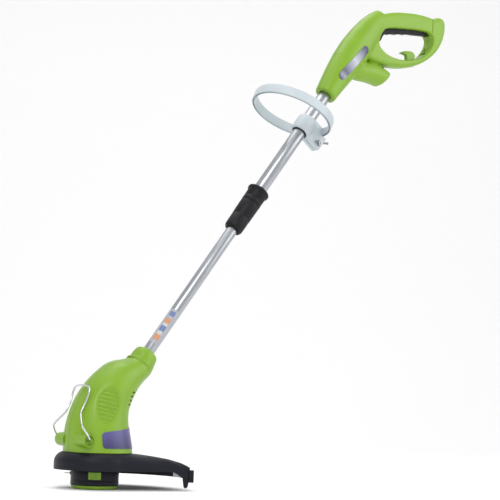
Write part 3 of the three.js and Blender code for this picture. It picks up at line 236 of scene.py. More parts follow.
STICKER_STEPS, STICKER_SIDES = 12, 28
sticker_points, sticker_faces, sticker_shares = [], [], []
for i in range(STICKER_STEPS + 1):
    station = STICKER_START + (STICKER_END - STICKER_START) * i / STICKER_STEPS
    for j in range(STICKER_SIDES + 1):
        turn = math.radians(155 + 150 * j / STICKER_SIDES)
        radius = LOWER_TUBE_RADIUS + 0.12
        sticker_points.append(on_shaft(station, radius * math.cos(turn), radius * math.sin(turn)))
        sticker_shares.append((j / STICKER_SIDES, i / STICKER_STEPS))
for i in range(STICKER_STEPS):
    for j in range(STICKER_SIDES):
        a = i * (STICKER_SIDES + 1) + j
        sticker_faces.append((a, a + 1, a + STICKER_SIDES + 2, a + STICKER_SIDES + 1))
sticker = mesh_piece("tube_sticker", sticker_points, sticker_faces, film)
sticker_uv = sticker.data.uv_layers.new(name="UVMap")
for loop in sticker.data.loops:
    sticker_uv.data[loop.index].uv = sticker_shares[loop.vertex_index]
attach(sticker, "head")

# ---------------------------------------------------------------- upper tube
# The thicker drawn aluminium tube that the lower one slides into. The rear handle's shells
# clamp its top end, and the shaft collar is pressed on its foot.
UPPER_TUBE_RADIUS = 13
UPPER_TUBE_FOOT, UPPER_TUBE_HEAD = 550.3, 908.3
upper_tube = tube("upper_tube_skin", UPPER_TUBE_RADIUS, UPPER_TUBE_FOOT, UPPER_TUBE_HEAD, tube_metal)
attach(upper_tube, "rear_handle")
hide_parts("upper_tube")

# ---------------------------------------------------------------- lock sleeve and shaft collar
# Two black nylon mouldings: the sleeve turns to squeeze the collet on the lower tube, and the
# flanged collar above it is fixed to the upper tube. Both are spark-textured.
def moulded(name, colour, roughness, grain=0.3, seam=False, gloss=0.5):
    material, tree, bsdf = shader(name, colour, roughness)
    bsdf.inputs["Specular IOR Level"].default_value = gloss
    place = tree.nodes.new("ShaderNodeTexCoord").outputs["Object"]
    spark = noise(tree, place, 1500, 2)
    clouds = noise(tree, place, 18, 4)
    rough = ramp(tree, clouds, 0.35, 0.7, grey(roughness - 0.04), grey(roughness + 0.07))
    tint = ramp(tree, clouds, 0.3, 0.7, shade_of(colour, 0.93), colour)
    if seam:
        split = tree.nodes.new("ShaderNodeSeparateXYZ")
        tree.links.new(place, split.inputs["Vector"])
        side = tree.nodes.new("ShaderNodeMath")
        side.operation = "ABSOLUTE"
        tree.links.new(split.outputs["Y"], side.inputs[0])
        reach = tree.nodes.new("ShaderNodeMath")
        reach.operation = "MULTIPLY"
        reach.inputs[1].default_value = 1000
        tree.links.new(side.outputs[0], reach.inputs[0])
        line = ramp(tree, reach.outputs[0], 0.32, 0.5, grey(0.25), grey(1))
        blend = tree.nodes.new("ShaderNodeMix")
        blend.data_type = "RGBA"
        blend.blend_type = "MULTIPLY"
        blend.inputs["Factor"].default_value = 1
        tree.links.new(tint, blend.inputs["A"])
        tree.links.new(line, blend.inputs["B"])
        tint = blend.outputs["Result"]
    tree.links.new(rough, bsdf.inputs["Roughness"])
    tree.links.new(tint, bsdf.inputs["Base Color"])
    bump(tree, bsdf, spark, grain, 0.00005)
    return material


black_plastic = moulded("spark_textured_black", srgb(13, 14, 18), 0.5, gloss=0.25)
SLEEVE_START, SLEEVE_END = 473, 540
sleeve = turned("lock_sleeve_skin", [
    (11.8, SLEEVE_START + 0.8), (14.6, SLEEVE_START), (15.8, SLEEVE_START + 0.4),
    (17.9, SLEEVE_START + 4), (18.3, SLEEVE_START + 7), (18.6, SLEEVE_START + 30),
    (18.2, SLEEVE_START + 31), (18.2, SLEEVE_START + 32), (18.8, SLEEVE_START + 33),
    (19.3, SLEEVE_END - 6), (19.4, SLEEVE_END - 2), (18.6, SLEEVE_END), (15.6, SLEEVE_END),
    (15.6, SLEEVE_START + 22), (11.8, SLEEVE_START + 22),
], SHAFT_ORIGIN, SHAFT_AXIS, black_plastic, sharp=45)
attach(sleeve, "sleeve")
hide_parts("lock_sleeve")

COLLAR_START, COLLAR_END = 540.3, 578.3
collar = turned("shaft_collar_skin", [
    (15.2, COLLAR_START), (18.6, COLLAR_START), (19.5, COLLAR_START + 1.2),
    (19.5, COLLAR_START + 9), (19.0, COLLAR_START + 9.8), (19.0, COLLAR_START + 11),
    (19.5, COLLAR_START + 11.8), (19.6, COLLAR_END - 12), (20.6, COLLAR_END - 10.6),
    (22.1, COLLAR_END - 8.8), (22.3, COLLAR_END - 7.5), (22.2, COLLAR_END - 5),
    (21.2, COLLAR_END - 4), (15.4, COLLAR_END - 0.4), (13.3, COLLAR_END),
    (13.3, COLLAR_START + 10), (15.2, COLLAR_START + 10),
], SHAFT_ORIGIN, SHAFT_AXIS, black_plastic, sharp=45)
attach(collar, "rear_handle")
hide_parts("shaft_collar")

# ---------------------------------------------------------------- motor housing
# Two lime green shells screwed together along the middle plane. They swell from the neck that
# holds the tube to the round foot over the spool, with a slatted recess in each side and air
# slots behind.
NECK_MOUTH = 170
FOOT_Z = 64


def neck_section(station, depth, width):
    at = on_shaft(station) / MM
    return (at.x, at.z, LEAN, depth, width)


HOUSING_SECTIONS = [
    (4, FOOT_Z, 0, 60, 60), (2, 85, math.radians(1), 58.5, 57),
    (1, 105, math.radians(3), 56, 54), (3, 127, math.radians(8), 52, 51),
    (9, 148, math.radians(15), 48, 48), (20, 168, math.radians(23), 44, 45.5),
    (35, 187, math.radians(31), 39.5, 42), (54, 204, math.radians(37), 34.5, 36.5),
    neck_section(NECK_MOUTH - 33, 25.5, 26), neck_section(NECK_MOUTH - 12, 22.5, 22.5),
    neck_section(NECK_MOUTH - 4, 20.5, 20.5), neck_section(NECK_MOUTH, 16, 16),
]


# A point on the shells: level counts sections up from the foot, turn is about the spine.
def housing_point(level, turn, proud=0.0):
    level = min(max(level, 0), len(HOUSING_SECTIONS) - 1)
    i = min(int(level), len(HOUSING_SECTIONS) - 2)
    t = level - i
    before = HOUSING_SECTIONS[max(i - 1, 0)]
    a, b = HOUSING_SECTIONS[i], HOUSING_SECTIONS[i + 1]
    after = HOUSING_SECTIONS[min(i + 2, len(HOUSING_SECTIONS) - 1)]
    x, z, tilt, depth, width = (
        0.5 * (2 * q + (r - p) * t + (2 * p - 5 * q + 4 * r - s) * t * t
               + (3 * q - p - 3 * r + s) * t * t * t)
        for p, q, r, s in zip(before, a, b, after)
    )
    bulge = 2 / 2.2
    across = (depth + proud) * math.copysign(abs(math.cos(turn)) ** bulge, math.cos(turn))
    side = (width + proud) * math.copysign(abs(math.sin(turn)) ** bulge, math.sin(turn))
    return Vector((x + across * math.cos(tilt), side, z - across * math.sin(tilt))) * MM


def applied(piece, *modifiers):
    for kind, settings in modifiers:
        modifier = piece.modifiers.new(kind.lower(), kind)
        for key, value in settings.items():
            setattr(modifier, key, value)
    bpy.context.view_layer.update()
    evaluated = piece.evaluated_get(bpy.context.evaluated_depsgraph_get())
    mesh = bpy.data.meshes.new_from_object(evaluated)
    piece.modifiers.clear()
    piece.data = mesh
    return piece


def shaped(piece, operation, *tools):
    for tool in tools:
        applied(piece, ("BOOLEAN", {"operation": operation, "object": tool, "solver": "EXACT"}))
        bpy.data.objects.remove(tool)
    return piece


def smooth_faces(piece, sharp=38):
    piece.data.shade_smooth()
    piece.data.set_sharp_from_angle(angle=math.radians(sharp))
    return piece


def block(name, low, high, material, round_edge=0.0, turn=0.0, about=(0, 0, 0), axis="Y"):
    work = bmesh.new()
    bmesh.ops.create_cube(work, size=1)
    for v in work.verts:
        v.co = Vector(
            [low[k] + (v.co[k] + 0.5) * (high[k] - low[k]) for k in range(3)]
        ) * MM
    if round_edge:
        bmesh.ops.bevel(
            work, geom=list(work.edges), offset=round_edge * MM, segments=3, affect="EDGES", profile=0.5,
        )
    about = Vector(about) * MM
    bmesh.ops.rotate(work, verts=work.verts, cent=about, matrix=Matrix.Rotation(turn, 3, axis))
    mesh = bpy.data.meshes.new(name)
    work.to_mesh(mesh)
    work.free()
    mesh.materials.append(material)
    piece = bpy.data.objects.new(name, mesh)
    bpy.context.scene.collection.objects.link(piece)
    return smooth_faces(piece)


green_plastic = moulded("lime_green_shell", srgb(120, 160, 24), 0.36, 0.18, seam=True)
HOUSING_RINGS, HOUSING_SIDES = 150, 168
TOP_LEVEL = len(HOUSING_SECTIONS) - 1
SLAT_PITCH, RECESS_DEPTH = 7.4, 3.2
RECESS_Z, RECESS_HALF_LENGTH, RECESS_HALF_HEIGHT = 146, 22, 35
RECESS_LEAST_Y = 22


# An oval recess in each side, crossed by slats that stand a little below the shell.
def slatted(level, turn):
    point = housing_point(level, turn) / MM
    if abs(point.y) < RECESS_LEAST_Y:
        return 0.0
    rise = point.z - RECESS_Z
    across = (point.x + 6 - 0.2 * rise) / RECESS_HALF_LENGTH
    up = rise / RECESS_HALF_HEIGHT
    inside = 1 - across * across - up * up
    if inside <= 0:
        return 0.0
    edge = min(inside / 0.3, 1)
    slat = 0.5 + 0.5 * math.cos(2 * math.pi * (point.z + 0.22 * point.x) / SLAT_PITCH)
    return -RECESS_DEPTH * edge * edge * (3 - 2 * edge) * (0.3 + 0.7 * slat)


rings = []
for i in range(HOUSING_RINGS + 1):
    level = TOP_LEVEL * i / HOUSING_RINGS
    turns = [2 * math.pi * j / HOUSING_SIDES for j in range(HOUSING_SIDES)]
    rings.append([housing_point(level, t, slatted(level, t)) for t in turns])
housing = skin("housing_shells", rings, green_plastic)
VENT_COUNT, VENT_FOOT_Z, VENT_PITCH = 4, 149, 7.2
VENT_TURN = math.radians(46)
for side in (-1, 1):
    for i in range(VENT_COUNT):
        z = VENT_FOOT_Z + VENT_PITCH * i
        slot = block("vent", (30, -6, z - 1.6), (90, 6, z + 1.6), green_plastic, 1,
                     side * VENT_TURN, (10 + 3 * i, 0, z), "Z")
        shaped(housing, "DIFFERENCE", slot)
PIVOT = (-44.5, 49, 85)
for side in (-1, 1):
    boss = turned("boss", [
        (0.01, 18), (13.2, 18), (12.6, 34), (11.9, 43), (11.5, 48.2),
        (10.8, 49), (9.6, 49), (9.3, 48.4), (9.3, 42), (0.01, 42),
    ], Vector((PIVOT[0], 0, PIVOT[2])) * MM, (0, side, 0), green_plastic, 48)
    shaped(housing, "UNION", boss)
BAND_FOOT, BAND_TOP = NECK_MOUTH - 31, NECK_MOUTH - 28
band = turned("neck_band", [
    (20, BAND_FOOT), (26.4, BAND_FOOT), (26.2, BAND_TOP), (20, BAND_TOP),
], SHAFT_ORIGIN, SHAFT_AXIS, green_plastic)
shaped(housing, "UNION", band)
smooth_faces(housing, 32)
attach(housing, "head")
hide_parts("housing_near", "housing_far")

# ---------------------------------------------------------------- head label
# A purple satin plate bonded to the near side of the foot, a little paler towards its top. Its
# corners are rounded and it wraps with the shell.
label_film, label_tree, label_bsdf = shader("purple_plate", srgb(98, 92, 150), 0.3)
label_uv = label_tree.nodes.new("ShaderNodeTexCoord").outputs["UV"]
label_split = label_tree.nodes.new("ShaderNodeSeparateXYZ")
label_tree.links.new(label_uv, label_split.inputs["Vector"])
label_tint = ramp(
    label_tree, label_split.outputs["Y"], 0.1, 0.9, srgb(58, 55, 100), srgb(82, 78, 132),
)
label_tree.links.new(label_tint, label_bsdf.inputs["Base Color"])
bump(label_tree, label_bsdf, noise(label_tree, label_uv, 300), 0.1, 0.00004)
LABEL_STEPS_UP, LABEL_STEPS_ROUND = 16, 40
LABEL_FRONT, LABEL_REAR = math.radians(-111), math.radians(-24)
LABEL_PROUD = 0.9
label_points, label_faces, label_uvs = [], [], []
for i in range(LABEL_STEPS_UP + 1):
    up = i / LABEL_STEPS_UP
    for j in range(LABEL_STEPS_ROUND + 1):
        along = j / LABEL_STEPS_ROUND
        corner = 0.05 * (abs(2 * up - 1) ** 8)
        share = corner + along * (1 - 2 * corner)
        level = 0.45 + up * (1.25 + 0.75 * share) * (1 - 0.04 * abs(2 * share - 1) ** 8)
        turn = LABEL_FRONT + share * (LABEL_REAR - LABEL_FRONT)
        label_points.append(housing_point(level, turn, LABEL_PROUD))
        label_uvs.append((along, up))
for i in range(LABEL_STEPS_UP):
    for j in range(LABEL_STEPS_ROUND):
        a = i * (LABEL_STEPS_ROUND + 1) + j
        label_faces.append((a, a + 1, a + LABEL_STEPS_ROUND + 2, a + LABEL_STEPS_ROUND + 1))
label = mesh_piece("head_label_plate", label_points, label_faces, label_film)
label_layer = label.data.uv_layers.new(name="UVMap")
for loop in label.data.loops:
    label_layer.data[loop.index].uv = label_uvs[loop.vertex_index]
applied(label, ("SOLIDIFY", {"thickness": 0.0007, "offset": -1}))
smooth_faces(label)
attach(label, "head")
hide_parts("head_label")

# ---------------------------------------------------------------- wire guard
# A bent chromed wire bail, stored upright in front of the housing. Its ends turn inward into
# the dished bosses that it swings in.
def polished(name, colour, roughness):
    material, tree, bsdf = shader(name, colour, roughness, 1.0)
    place = tree.nodes.new("ShaderNodeTexCoord").outputs["Object"]
    rough = ramp(tree, noise(tree, place, 90), 0.3, 0.8, grey(roughness), grey(roughness + 0.12))
    tree.links.new(rough, bsdf.inputs["Roughness"])
    bump(tree, bsdf, noise(tree, place, 700), 0.08, 0.00003)
    return material


chrome = polished("bright_plated_wire", srgb(205, 207, 210), 0.12)
bail_half = [
    (0, -11, 0), (0, -0.5, 0), (-2, 3.2, 3), (-14.3, 0.6, 22), (-15, -1.2, 25),
    (-5, -23.5, 48.5), (-3.6, -24, 51.5), (3, -24, 64.5), (10.5, -24, 90), (10.9, -28, 93.3),
]
bail_path = [Vector((PIVOT[0] + x, -(PIVOT[1] + y), PIVOT[2] + z)) for x, y, z in bail_half]
bail_path += [Vector((p.x, -p.y, p.z)) for p in reversed(bail_path)]


def wire(name, path, radius, material, resolution=10):
    curve = bpy.data.curves.new(name, "CURVE")
    curve.dimensions = "3D"
    curve.bevel_depth = radius * MM
    curve.bevel_resolution = 5
    curve.use_fill_caps = True
    spline = curve.splines.new("BEZIER")
    spline.bezier_points.add(len(path) - 1)
    for point, place in zip(spline.bezier_points, path):
        point.co = place * MM
        point.handle_left_type = "AUTO"
        point.handle_right_type = "AUTO"
    spline.resolution_u = resolution
    source = bpy.data.objects.new(name + "_line", curve)
    bpy.context.scene.collection.objects.link(source)
    bpy.context.view_layer.update()
    mesh = bpy.data.meshes.new_from_object(
        source.evaluated_get(bpy.context.evaluated_depsgraph_get())
    )
    bpy.data.objects.remove(source)
    piece = bpy.data.objects.new(name, mesh)
    bpy.context.scene.collection.objects.link(piece)
    mesh.materials.clear()
    mesh.materials.append(material)
    return smooth_faces(piece)


bail = wire("wire_bail_skin", bail_path, 1.6, chrome)
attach(bail, "wire_bail")
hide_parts("wire_guard")

# ---------------------------------------------------------------- guard
# A black dish moulded in one piece: a round collar ahead of the spool, straight sides, and a
# deep arc behind it. Two screws hold it under the motor plate.
GUARD_REACH, GUARD_FRONT, CORNER_CUT = 168, 73, 8
NEAR_ANGLE, FAR_ANGLE = math.radians(-36.5), math.radians(50)


def arc(radius, start, end, count):
    return [
        Vector((radius * math.cos(t), radius * math.sin(t), 0))
        for t in (start + (end - start) * i / count for i in range(count + 1))
    ]


def line(start, end, count):
    return [start.lerp(end, i / count) for i in range(1, count)]


rear = arc(GUARD_REACH, NEAR_ANGLE + 0.05, FAR_ANGLE - 0.05, 60)
front = arc(GUARD_FRONT, math.radians(84), math.radians(276), 70)
near_corner = Vector((math.cos(NEAR_ANGLE), math.sin(NEAR_ANGLE), 0)) * (GUARD_REACH - CORNER_CUT)
far_corner = Vector((math.cos(FAR_ANGLE), math.sin(FAR_ANGLE), 0)) * (GUARD_REACH - CORNER_CUT)


def rounded(start, tip, end, count=6):
    return [
        start.lerp(tip, t).lerp(tip.lerp(end, t), t) for t in (i / count for i in range(1, count))
    ]


CORNER_REACH = GUARD_REACH / (GUARD_REACH - CORNER_CUT)
guard_plan = rear + rounded(rear[-1], far_corner * CORNER_REACH, far_corner)
guard_plan += [far_corner] + line(far_corner, front[0], 26) + front
guard_plan += line(front[-1], near_corner, 26) + [near_corner]
guard_plan += rounded(near_corner, near_corner * CORNER_REACH, rear[0])


def moved_in(plan, distance):
    out = []
    for i, p in enumerate(plan):
        along = (plan[(i + 1) % len(plan)] - plan[i - 1]).normalized()
        out.append(Vector((p.x - along.y * distance, p.y + along.x * distance, 0)))
    return out


GUARD_TOP, HUB_RIM, GUARD_WALL = 63.4, 61.5, 3


def rearness(p):
    t = min(max((p.length - (GUARD_REACH - 30)) / 26, 0), 1)
    return t * t * (3 - 2 * t)


def guard_circle(radius, z):
    return [Vector((p.x / p.length * radius, p.y / p.length * radius, z)) * MM for p in guard_plan]


def guard_slope(share, drop, sink):
    ring = []
    for p, edge in zip(guard_plan, moved_in(guard_plan, sink)):
        radius = HUB_RIM + (edge.length - HUB_RIM) * share
        z = GUARD_TOP - 0.4 - drop * (1 + 0.5 * rearness(p)) - sink
        ring.append(Vector((edge.x / edge.length * radius, edge.y / edge.length * radius, z)) * MM)
    return ring


def guard_rim(sink, height_of):
    inner = moved_in(guard_plan, sink)
    return [Vector((q.x, q.y, height_of(p))) * MM for q, p in zip(inner, guard_plan)]


def lip_z(p):
    return 33 - 13 * rearness(p)


guard_rings = [
    guard_circle(26, GUARD_TOP), guard_circle(HUB_RIM - 1, GUARD_TOP),
    guard_circle(HUB_RIM, GUARD_TOP - 0.4),
    guard_slope(0.2, 1.2, 0), guard_slope(0.45, 3.5, 0), guard_slope(0.65, 5.8, 0),
    guard_slope(0.85, 9.6, 0), guard_slope(0.95, 12.6, 0),
    guard_rim(0, lambda p: 46 - 5 * rearness(p)), guard_rim(0, lambda p: 43.5 - 6 * rearness(p)),
    guard_rim(0, lambda p: lip_z(p) + 0.6), guard_rim(0.6, lip_z),
    guard_rim(GUARD_WALL, lip_z), guard_rim(GUARD_WALL, lambda p: 44 - 7 * rearness(p)),
    guard_slope(0.8, 8.5, GUARD_WALL), guard_slope(0.45, 3.5, GUARD_WALL),
    guard_circle(HUB_RIM, GUARD_TOP - GUARD_WALL), guard_circle(26, GUARD_TOP - GUARD_WALL),
]
guard_black = moulded("guard_black", srgb(12, 14, 26), 0.5, 0.35, gloss=0.25)
guard = skin("guard_skin", guard_rings, guard_black, looped=True, sharp=34)
FLANGE = [
    (-16, 40), (-1.2, 40), (-1, 26), (-2, 14), (-3.4, 7.5), (-5.5, 5.2), (-8.5, 5), (-10.5, 6.6),
    (-12, 14), (-14, 30),
]
TO_NEAR_EDGE = Matrix.Rotation(NEAR_ANGLE, 3, "Z")
flange = skin("flange", [
    [TO_NEAR_EDGE @ Vector((GUARD_REACH + out, y, z)) * MM for out, z in FLANGE] for y in (2, 6)
], guard_black)
heel = block("heel", (GUARD_REACH - 2, 0.5, 15), (GUARD_REACH + 7, 9, 37), guard_black, 1.4,
             NEAR_ANGLE, axis="Z")
shaped(guard, "UNION", flange, heel)
smooth_faces(guard, 34)
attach(guard, "head")
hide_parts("guard")

# ---------------------------------------------------------------- spool drum and cap
# A dark cylinder keyed to the motor's shaft holds the line spool. The green cap underneath
# latches with two pressed tabs, and the line leaves through a steel eyelet.
drum_black = moulded("drum_black", srgb(8, 10, 24), 0.4, 0.2, gloss=0.25)
ROTOR_TURN = math.radians(-32.4)
SPOOL_CENTRE = Vector((0, 0, 0))
drum = turned("drum_skin", [
    (4.3, 43), (40, 43), (40, 6.3), (41.8, 6.3), (42.6, 7.2), (42.6, 13.6), (42.1, 14.0),
    (42.1, 14.8), (42.6, 15.2), (42.6, 44), (41.6, 46), (39.6, 47), (10, 47), (9, 55), (4.3, 55),
], SPOOL_CENTRE, (0, 0, 1), drum_black, 112)
window = block("window", (-11.6, -60, 16.6), (11.6, 60, 30.6), drum_black, 0, ROTOR_TURN, axis="Z")
shaped(drum, "DIFFERENCE", window)
smooth_faces(drum, 34)
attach(drum, "rotor")
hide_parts("spool_drum")

cap_green = moulded("cap_green", srgb(120, 160, 24), 0.36, 0.18)
cap = turned("cap_skin", [
    (0.01, 0), (35, 0), (38.4, 0.5), (40.2, 1.9), (41.1, 3.8), (41.2, 5.8), (40.6, 6),
    (8, 6), (8, 25), (0.01, 25),
], SPOOL_CENTRE, (0, 0, 1), cap_green, 112)
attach(cap, "cap")
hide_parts("spool_cap")

for number, side in ((1, -1), (2, 1)):
    finger = turned(f"latch_tab_{number}", [
        (36.8, 17), (41.8, 17), (42.3, 17.6), (42.3, 29.4), (41.8, 30), (36.8, 30),
    ], SPOOL_CENTRE, (0, 0, 1), cap_green, 160)
    reach = sorted((0.0, side * 60.0))
    keep = block(
        "keep", (-11, reach[0], 10), (11, reach[1], 40), cap_green, 0, ROTOR_TURN, axis="Z",
    )
    shaped(finger, "INTERSECT", keep)
    for rib in range(3):
        z = 20.2 + rib * 3.4
        groove_reach = sorted((side * 41.6, side * 60.0))
        groove = block(
            "groove", (-8, groove_reach[0], z), (8, groove_reach[1], z + 1.2),
            cap_green, 0.3, ROTOR_TURN, axis="Z",
        )
        shaped(finger, "DIFFERENCE", groove)
    smooth_faces(finger, 34)
    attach(finger, "tab_a" if side < 0 else "tab_b")
    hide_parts(f"cap_tab_{number}")

# ---------------------------------------------------------------- loop handle
# A pale grey strap moulded as a ring round the tube, with a split collar behind it that a bolt
# and wing nut close. A groove runs round the edge that faces the head.
pale_plastic = moulded("pale_grey_loop", srgb(184, 194, 199), 0.42, 0.25)
LOOP_STATION = 765.3
LOOP_TILT = math.radians(12.8)
LOOP_FRONT = -BEHIND * math.cos(LOOP_TILT) - SHAFT_AXIS * math.sin(LOOP_TILT)
LOOP_EDGE = BEHIND * math.sin(LOOP_TILT) - SHAFT_AXIS * math.cos(LOOP_TILT)
LOOP_FORWARD, LOOP_HALF_LENGTH, LOOP_HALF_WIDTH, LOOP_STEPS = 40, 81, 79, 120
loop_centre = on_shaft(LOOP_STATION) + LOOP_FRONT * LOOP_FORWARD * MM
STRAP = [
    (-9.5, 1.6), (-8.6, 2.8), (-7.2, 3.2), (7.0, 3.2), (8.8, 3.0), (9.5, 2.5), (9.4, 1.8),
    (5.2, 1.5), (5.2, -1.5), (9.4, -1.8), (9.5, -2.5), (8.8, -3.0), (7.0, -3.2),
    (-7.2, -3.2), (-8.6, -2.8), (-9.5, -1.6),
]
strap_rings = []
for i in range(LOOP_STEPS):
    turn = 2 * math.pi * i / LOOP_STEPS
    strap_rings.append([
        loop_centre + (
            LOOP_FRONT * (LOOP_HALF_LENGTH + out) * math.cos(turn)
            + Vector((0, (LOOP_HALF_WIDTH + out) * math.sin(turn), 0)) + LOOP_EDGE * across
        ) * MM
        for across, out in STRAP
    ])
loop = skin("loop_handle_skin", strap_rings, pale_plastic, looped=True, sharp=40)
CLAMP_START = LOOP_STATION - 30
CLAMP_END = CLAMP_START + 36
CLAMP_BORE = 15.8


def shaft_block(name, low, high, material, round_edge=0.0):
    piece = block(name, low, high, material, round_edge)
    turn = Matrix.Rotation(LEAN, 4, "Y")
    piece.data.transform(Matrix.Translation(SHAFT_ORIGIN) @ turn)
    return piece


clamp_collar = turned("clamp_collar", [
    (0.01, CLAMP_START), (19, CLAMP_START), (20.1, CLAMP_START + 1.2),
    (20.1, CLAMP_END - 6), (19, CLAMP_END - 2.5), (17.1, CLAMP_END), (0.01, CLAMP_END),
], SHAFT_ORIGIN, SHAFT_AXIS, pale_plastic)
web = shaft_block("web", (4, -9, CLAMP_START + 6), (42, 9, LOOP_STATION + 14), pale_plastic, 2)
lug = shaft_block("lug", (4, -11, CLAMP_START), (53, 11, CLAMP_START + 32), pale_plastic, 2.2)
shaped(loop, "UNION", clamp_collar, web, lug)
clamp_bore = turned("clamp_bore", [
    (0.01, CLAMP_START - 40), (CLAMP_BORE, CLAMP_START - 40), (CLAMP_BORE, CLAMP_START + 80),
    (0.01, CLAMP_START + 80),
], SHAFT_ORIGIN, SHAFT_AXIS, pale_plastic)
slit = shaft_block("slit", (5, -1, CLAMP_START - 5), (60, 1, CLAMP_START + 27), pale_plastic)
bolt_way = turned("bolt_way", [
    (0.01, -30), (3.2, -30), (3.2, 30), (0.01, 30),
], on_shaft(CLAMP_START + 12, 44.1), (0, 1, 0), pale_plastic, 32)
shaped(loop, "DIFFERENCE", clamp_bore, slit, bolt_way)
smooth_faces(loop, 40)
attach(loop, "loop")
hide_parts("loop_handle")

# ---------------------------------------------------------------- rear handle
# Two green shells hold the tube, the switch and the cord inlet. The barrel runs into a D grip
# with rounded rails, and a short hood below it looks to the rear.
HANDLE_FOOT_STATION = 840.3
GRIP_RISE = 10
GRIP_ORIGIN = on_shaft(HANDLE_FOOT_STATION + GRIP_RISE)


def at_handle(x, z, y=0.0):
    return GRIP_ORIGIN + Vector((x, y, z)) * MM


def closed_curve(points, count):
    out = []
    total = len(points)
    for i in range(count):
        level = total * i / count
        k, t = int(level), level - int(level)
        p, q, r, s = (Vector(points[(k + n) % total]) for n in (-1, 0, 1, 2))
        out.append(0.5 * (2 * q + (r - p) * t + (2 * p - 5 * q + 4 * r - s) * t * t
                          + (3 * q - p - 3 * r + s) * t * t * t))
    return out


# A flat outline in the handle's plane given thickness, its edges rounded by stepped rings. The
# whole outline is drawn in by the amount sunk.
def plate(name, outline, half, edge, material, sunk=0.0):
    count = len(outline)
    loop_area = sum(
        outline[i].x * outline[(i + 1) % count].y - outline[(i + 1) % count].x * outline[i].y
        for i in range(count)
    )
    way = 1 if loop_area > 0 else -1

    def inset(distance):
        out = []
        for i, p in enumerate(outline):
            along = (outline[(i + 1) % count] - outline[i - 1]).normalized()
            out.append(Vector((p.x - way * along.y * distance, p.y + way * along.x * distance)))
        return out

    upper = [(0, half)]
    if edge:
        turns = [math.pi / 2 * k / 5 for k in range(6)]
        upper = [(edge * (1 - math.cos(t)), half - edge + edge * math.sin(t)) for t in turns]
    levels = [(d, -y) for d, y in reversed(upper)] + upper
    rings = [[at_handle(p.x, p.y, y) for p in inset(d + sunk)] for d, y in levels]
    return skin(name, rings, material)


HANDLE_OUTLINE = closed_curve([
    (96, 84), (140, 76), (168, 76.5), (200, 80), (228, 87.5), (256, 100), (279, 115.5),
    (295, 131), (307, 149), (314, 167), (316.5, 184), (314.5, 197), (306, 204), (294, 203.5),
    (286, 198.5), (266, 200.5), (238, 201), (210, 199), (183, 195.5), (156, 189.5), (120, 176),
    (92, 150), (84, 115),
], 180)
OPENING_OUTLINE = closed_curve([
    (126, 117), (139, 104.5), (160, 97), (186, 95), (213, 98), (239, 105), (259, 117),
    (273, 133), (280, 149), (276, 160), (262, 166), (231, 165.5), (184, 160.5), (150, 155),
    (138, 148), (129, 134),
], 130)
BARREL = [
    (0, 21.5, 21.5, 21.5), (25, 26, 23, 23.5), (55, 31, 26, 25.5), (90, 35.5, 29, 27),
    (125, 37, 31, 26.5), (160, 35, 31, 24), (195, 30, 29, 20.5), (222, 22, 25, 17.5),
    (240, 14, 18, 13.5),
]


def smooth_ring(centre, across, depth, width, square=2.2, count=72):
    ring = []
    for i in range(count):
        t = 2 * math.pi * i / count
        a = depth * math.copysign(abs(math.cos(t)) ** (2 / square), math.cos(t))
        b = width * math.copysign(abs(math.sin(t)) ** (2 / square), math.sin(t))
        ring.append(centre + across * a * MM + Vector((0, b * MM, 0)))
    return ring


barrel = skin("barrel", [
    smooth_ring(on_shaft(HANDLE_FOOT_STATION + at, (rear_r - front_r) / 2), BEHIND,
                (front_r + rear_r) / 2, width)
    for at, front_r, rear_r, width in BARREL
], green_plastic)
SOCKET_MOUTH, SOCKET_DROP, SOCKET_BORE = (148, 48), 40, 17.7
HOOD_SECTIONS = [
    (54, 50, -14, 13), (80, 56, 0, 20.5), (106, 57, 12, 22), (130, 54, 26, 22.5),
    (*SOCKET_MOUTH, SOCKET_DROP, 22),
]
hood_rings = []
for x, z, drop, radius in HOOD_SECTIONS:
    tilt = math.pi / 2 + math.radians(drop)
    across = Vector((math.cos(tilt), 0, -math.sin(tilt)))
    hood_rings.append(smooth_ring(at_handle(x, z), across, radius, radius, 2))
hood = skin("hood", hood_rings, green_plastic)
handle = plate("rear_handle_shells", HANDLE_OUTLINE, 16.5, 9, green_plastic)
shaped(handle, "UNION", barrel, hood)
shaped(handle, "DIFFERENCE", plate("opening", OPENING_OUTLINE, 60, 0, green_plastic))
applied(
    handle,
    ("REMESH", {"mode": "VOXEL", "voxel_size": 0.0013}),
    ("SMOOTH", {"factor": 0.5, "iterations": 34}),
)
socket_drop = math.radians(SOCKET_DROP)
SOCKET_AXIS = Vector((math.cos(socket_drop), 0, -math.sin(socket_drop)))
socket_bore = turned("socket_bore", [
    (0.01, -24), (SOCKET_BORE, -24), (SOCKET_BORE, 8), (0.01, 8),
], at_handle(*SOCKET_MOUTH), SOCKET_AXIS, green_plastic, 64)
tube_bore = turned("tube_bore", [(0.01, -30), (13.3, -30), (13.3, 66), (0.01, 66)],
                   on_shaft(HANDLE_FOOT_STATION), SHAFT_AXIS, green_plastic, 64)
trigger_slot = block("trigger_slot", (130, -7.5, 126), (276, 7.5, 176), green_plastic)
trigger_slot.data.transform(Matrix.Translation(GRIP_ORIGIN))
hook_cord_slot = block("cord_slot", (4, -9, -4.5), (70, 9, 4.5), green_plastic, 2, math.radians(32))
hook_cord_slot.data.transform(Matrix.Translation(at_handle(258, 124)))
shaped(handle, "DIFFERENCE", socket_bore, tube_bore, trigger_slot, hook_cord_slot)
seam_slab = block("seam_slab", (275, -22, 166), (276.6, 22, 214), green_plastic)
seam_slab.data.transform(Matrix.Translation(GRIP_ORIGIN))
shaped(seam_slab, "DIFFERENCE", plate("core", HANDLE_OUTLINE, 14.6, 8, green_plastic, 2.2))
shaped(handle, "DIFFERENCE", seam_slab)
handle.data.materials.clear()
handle.data.materials.append(green_plastic)
smooth_faces(handle, 40)
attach(handle, "rear_handle")
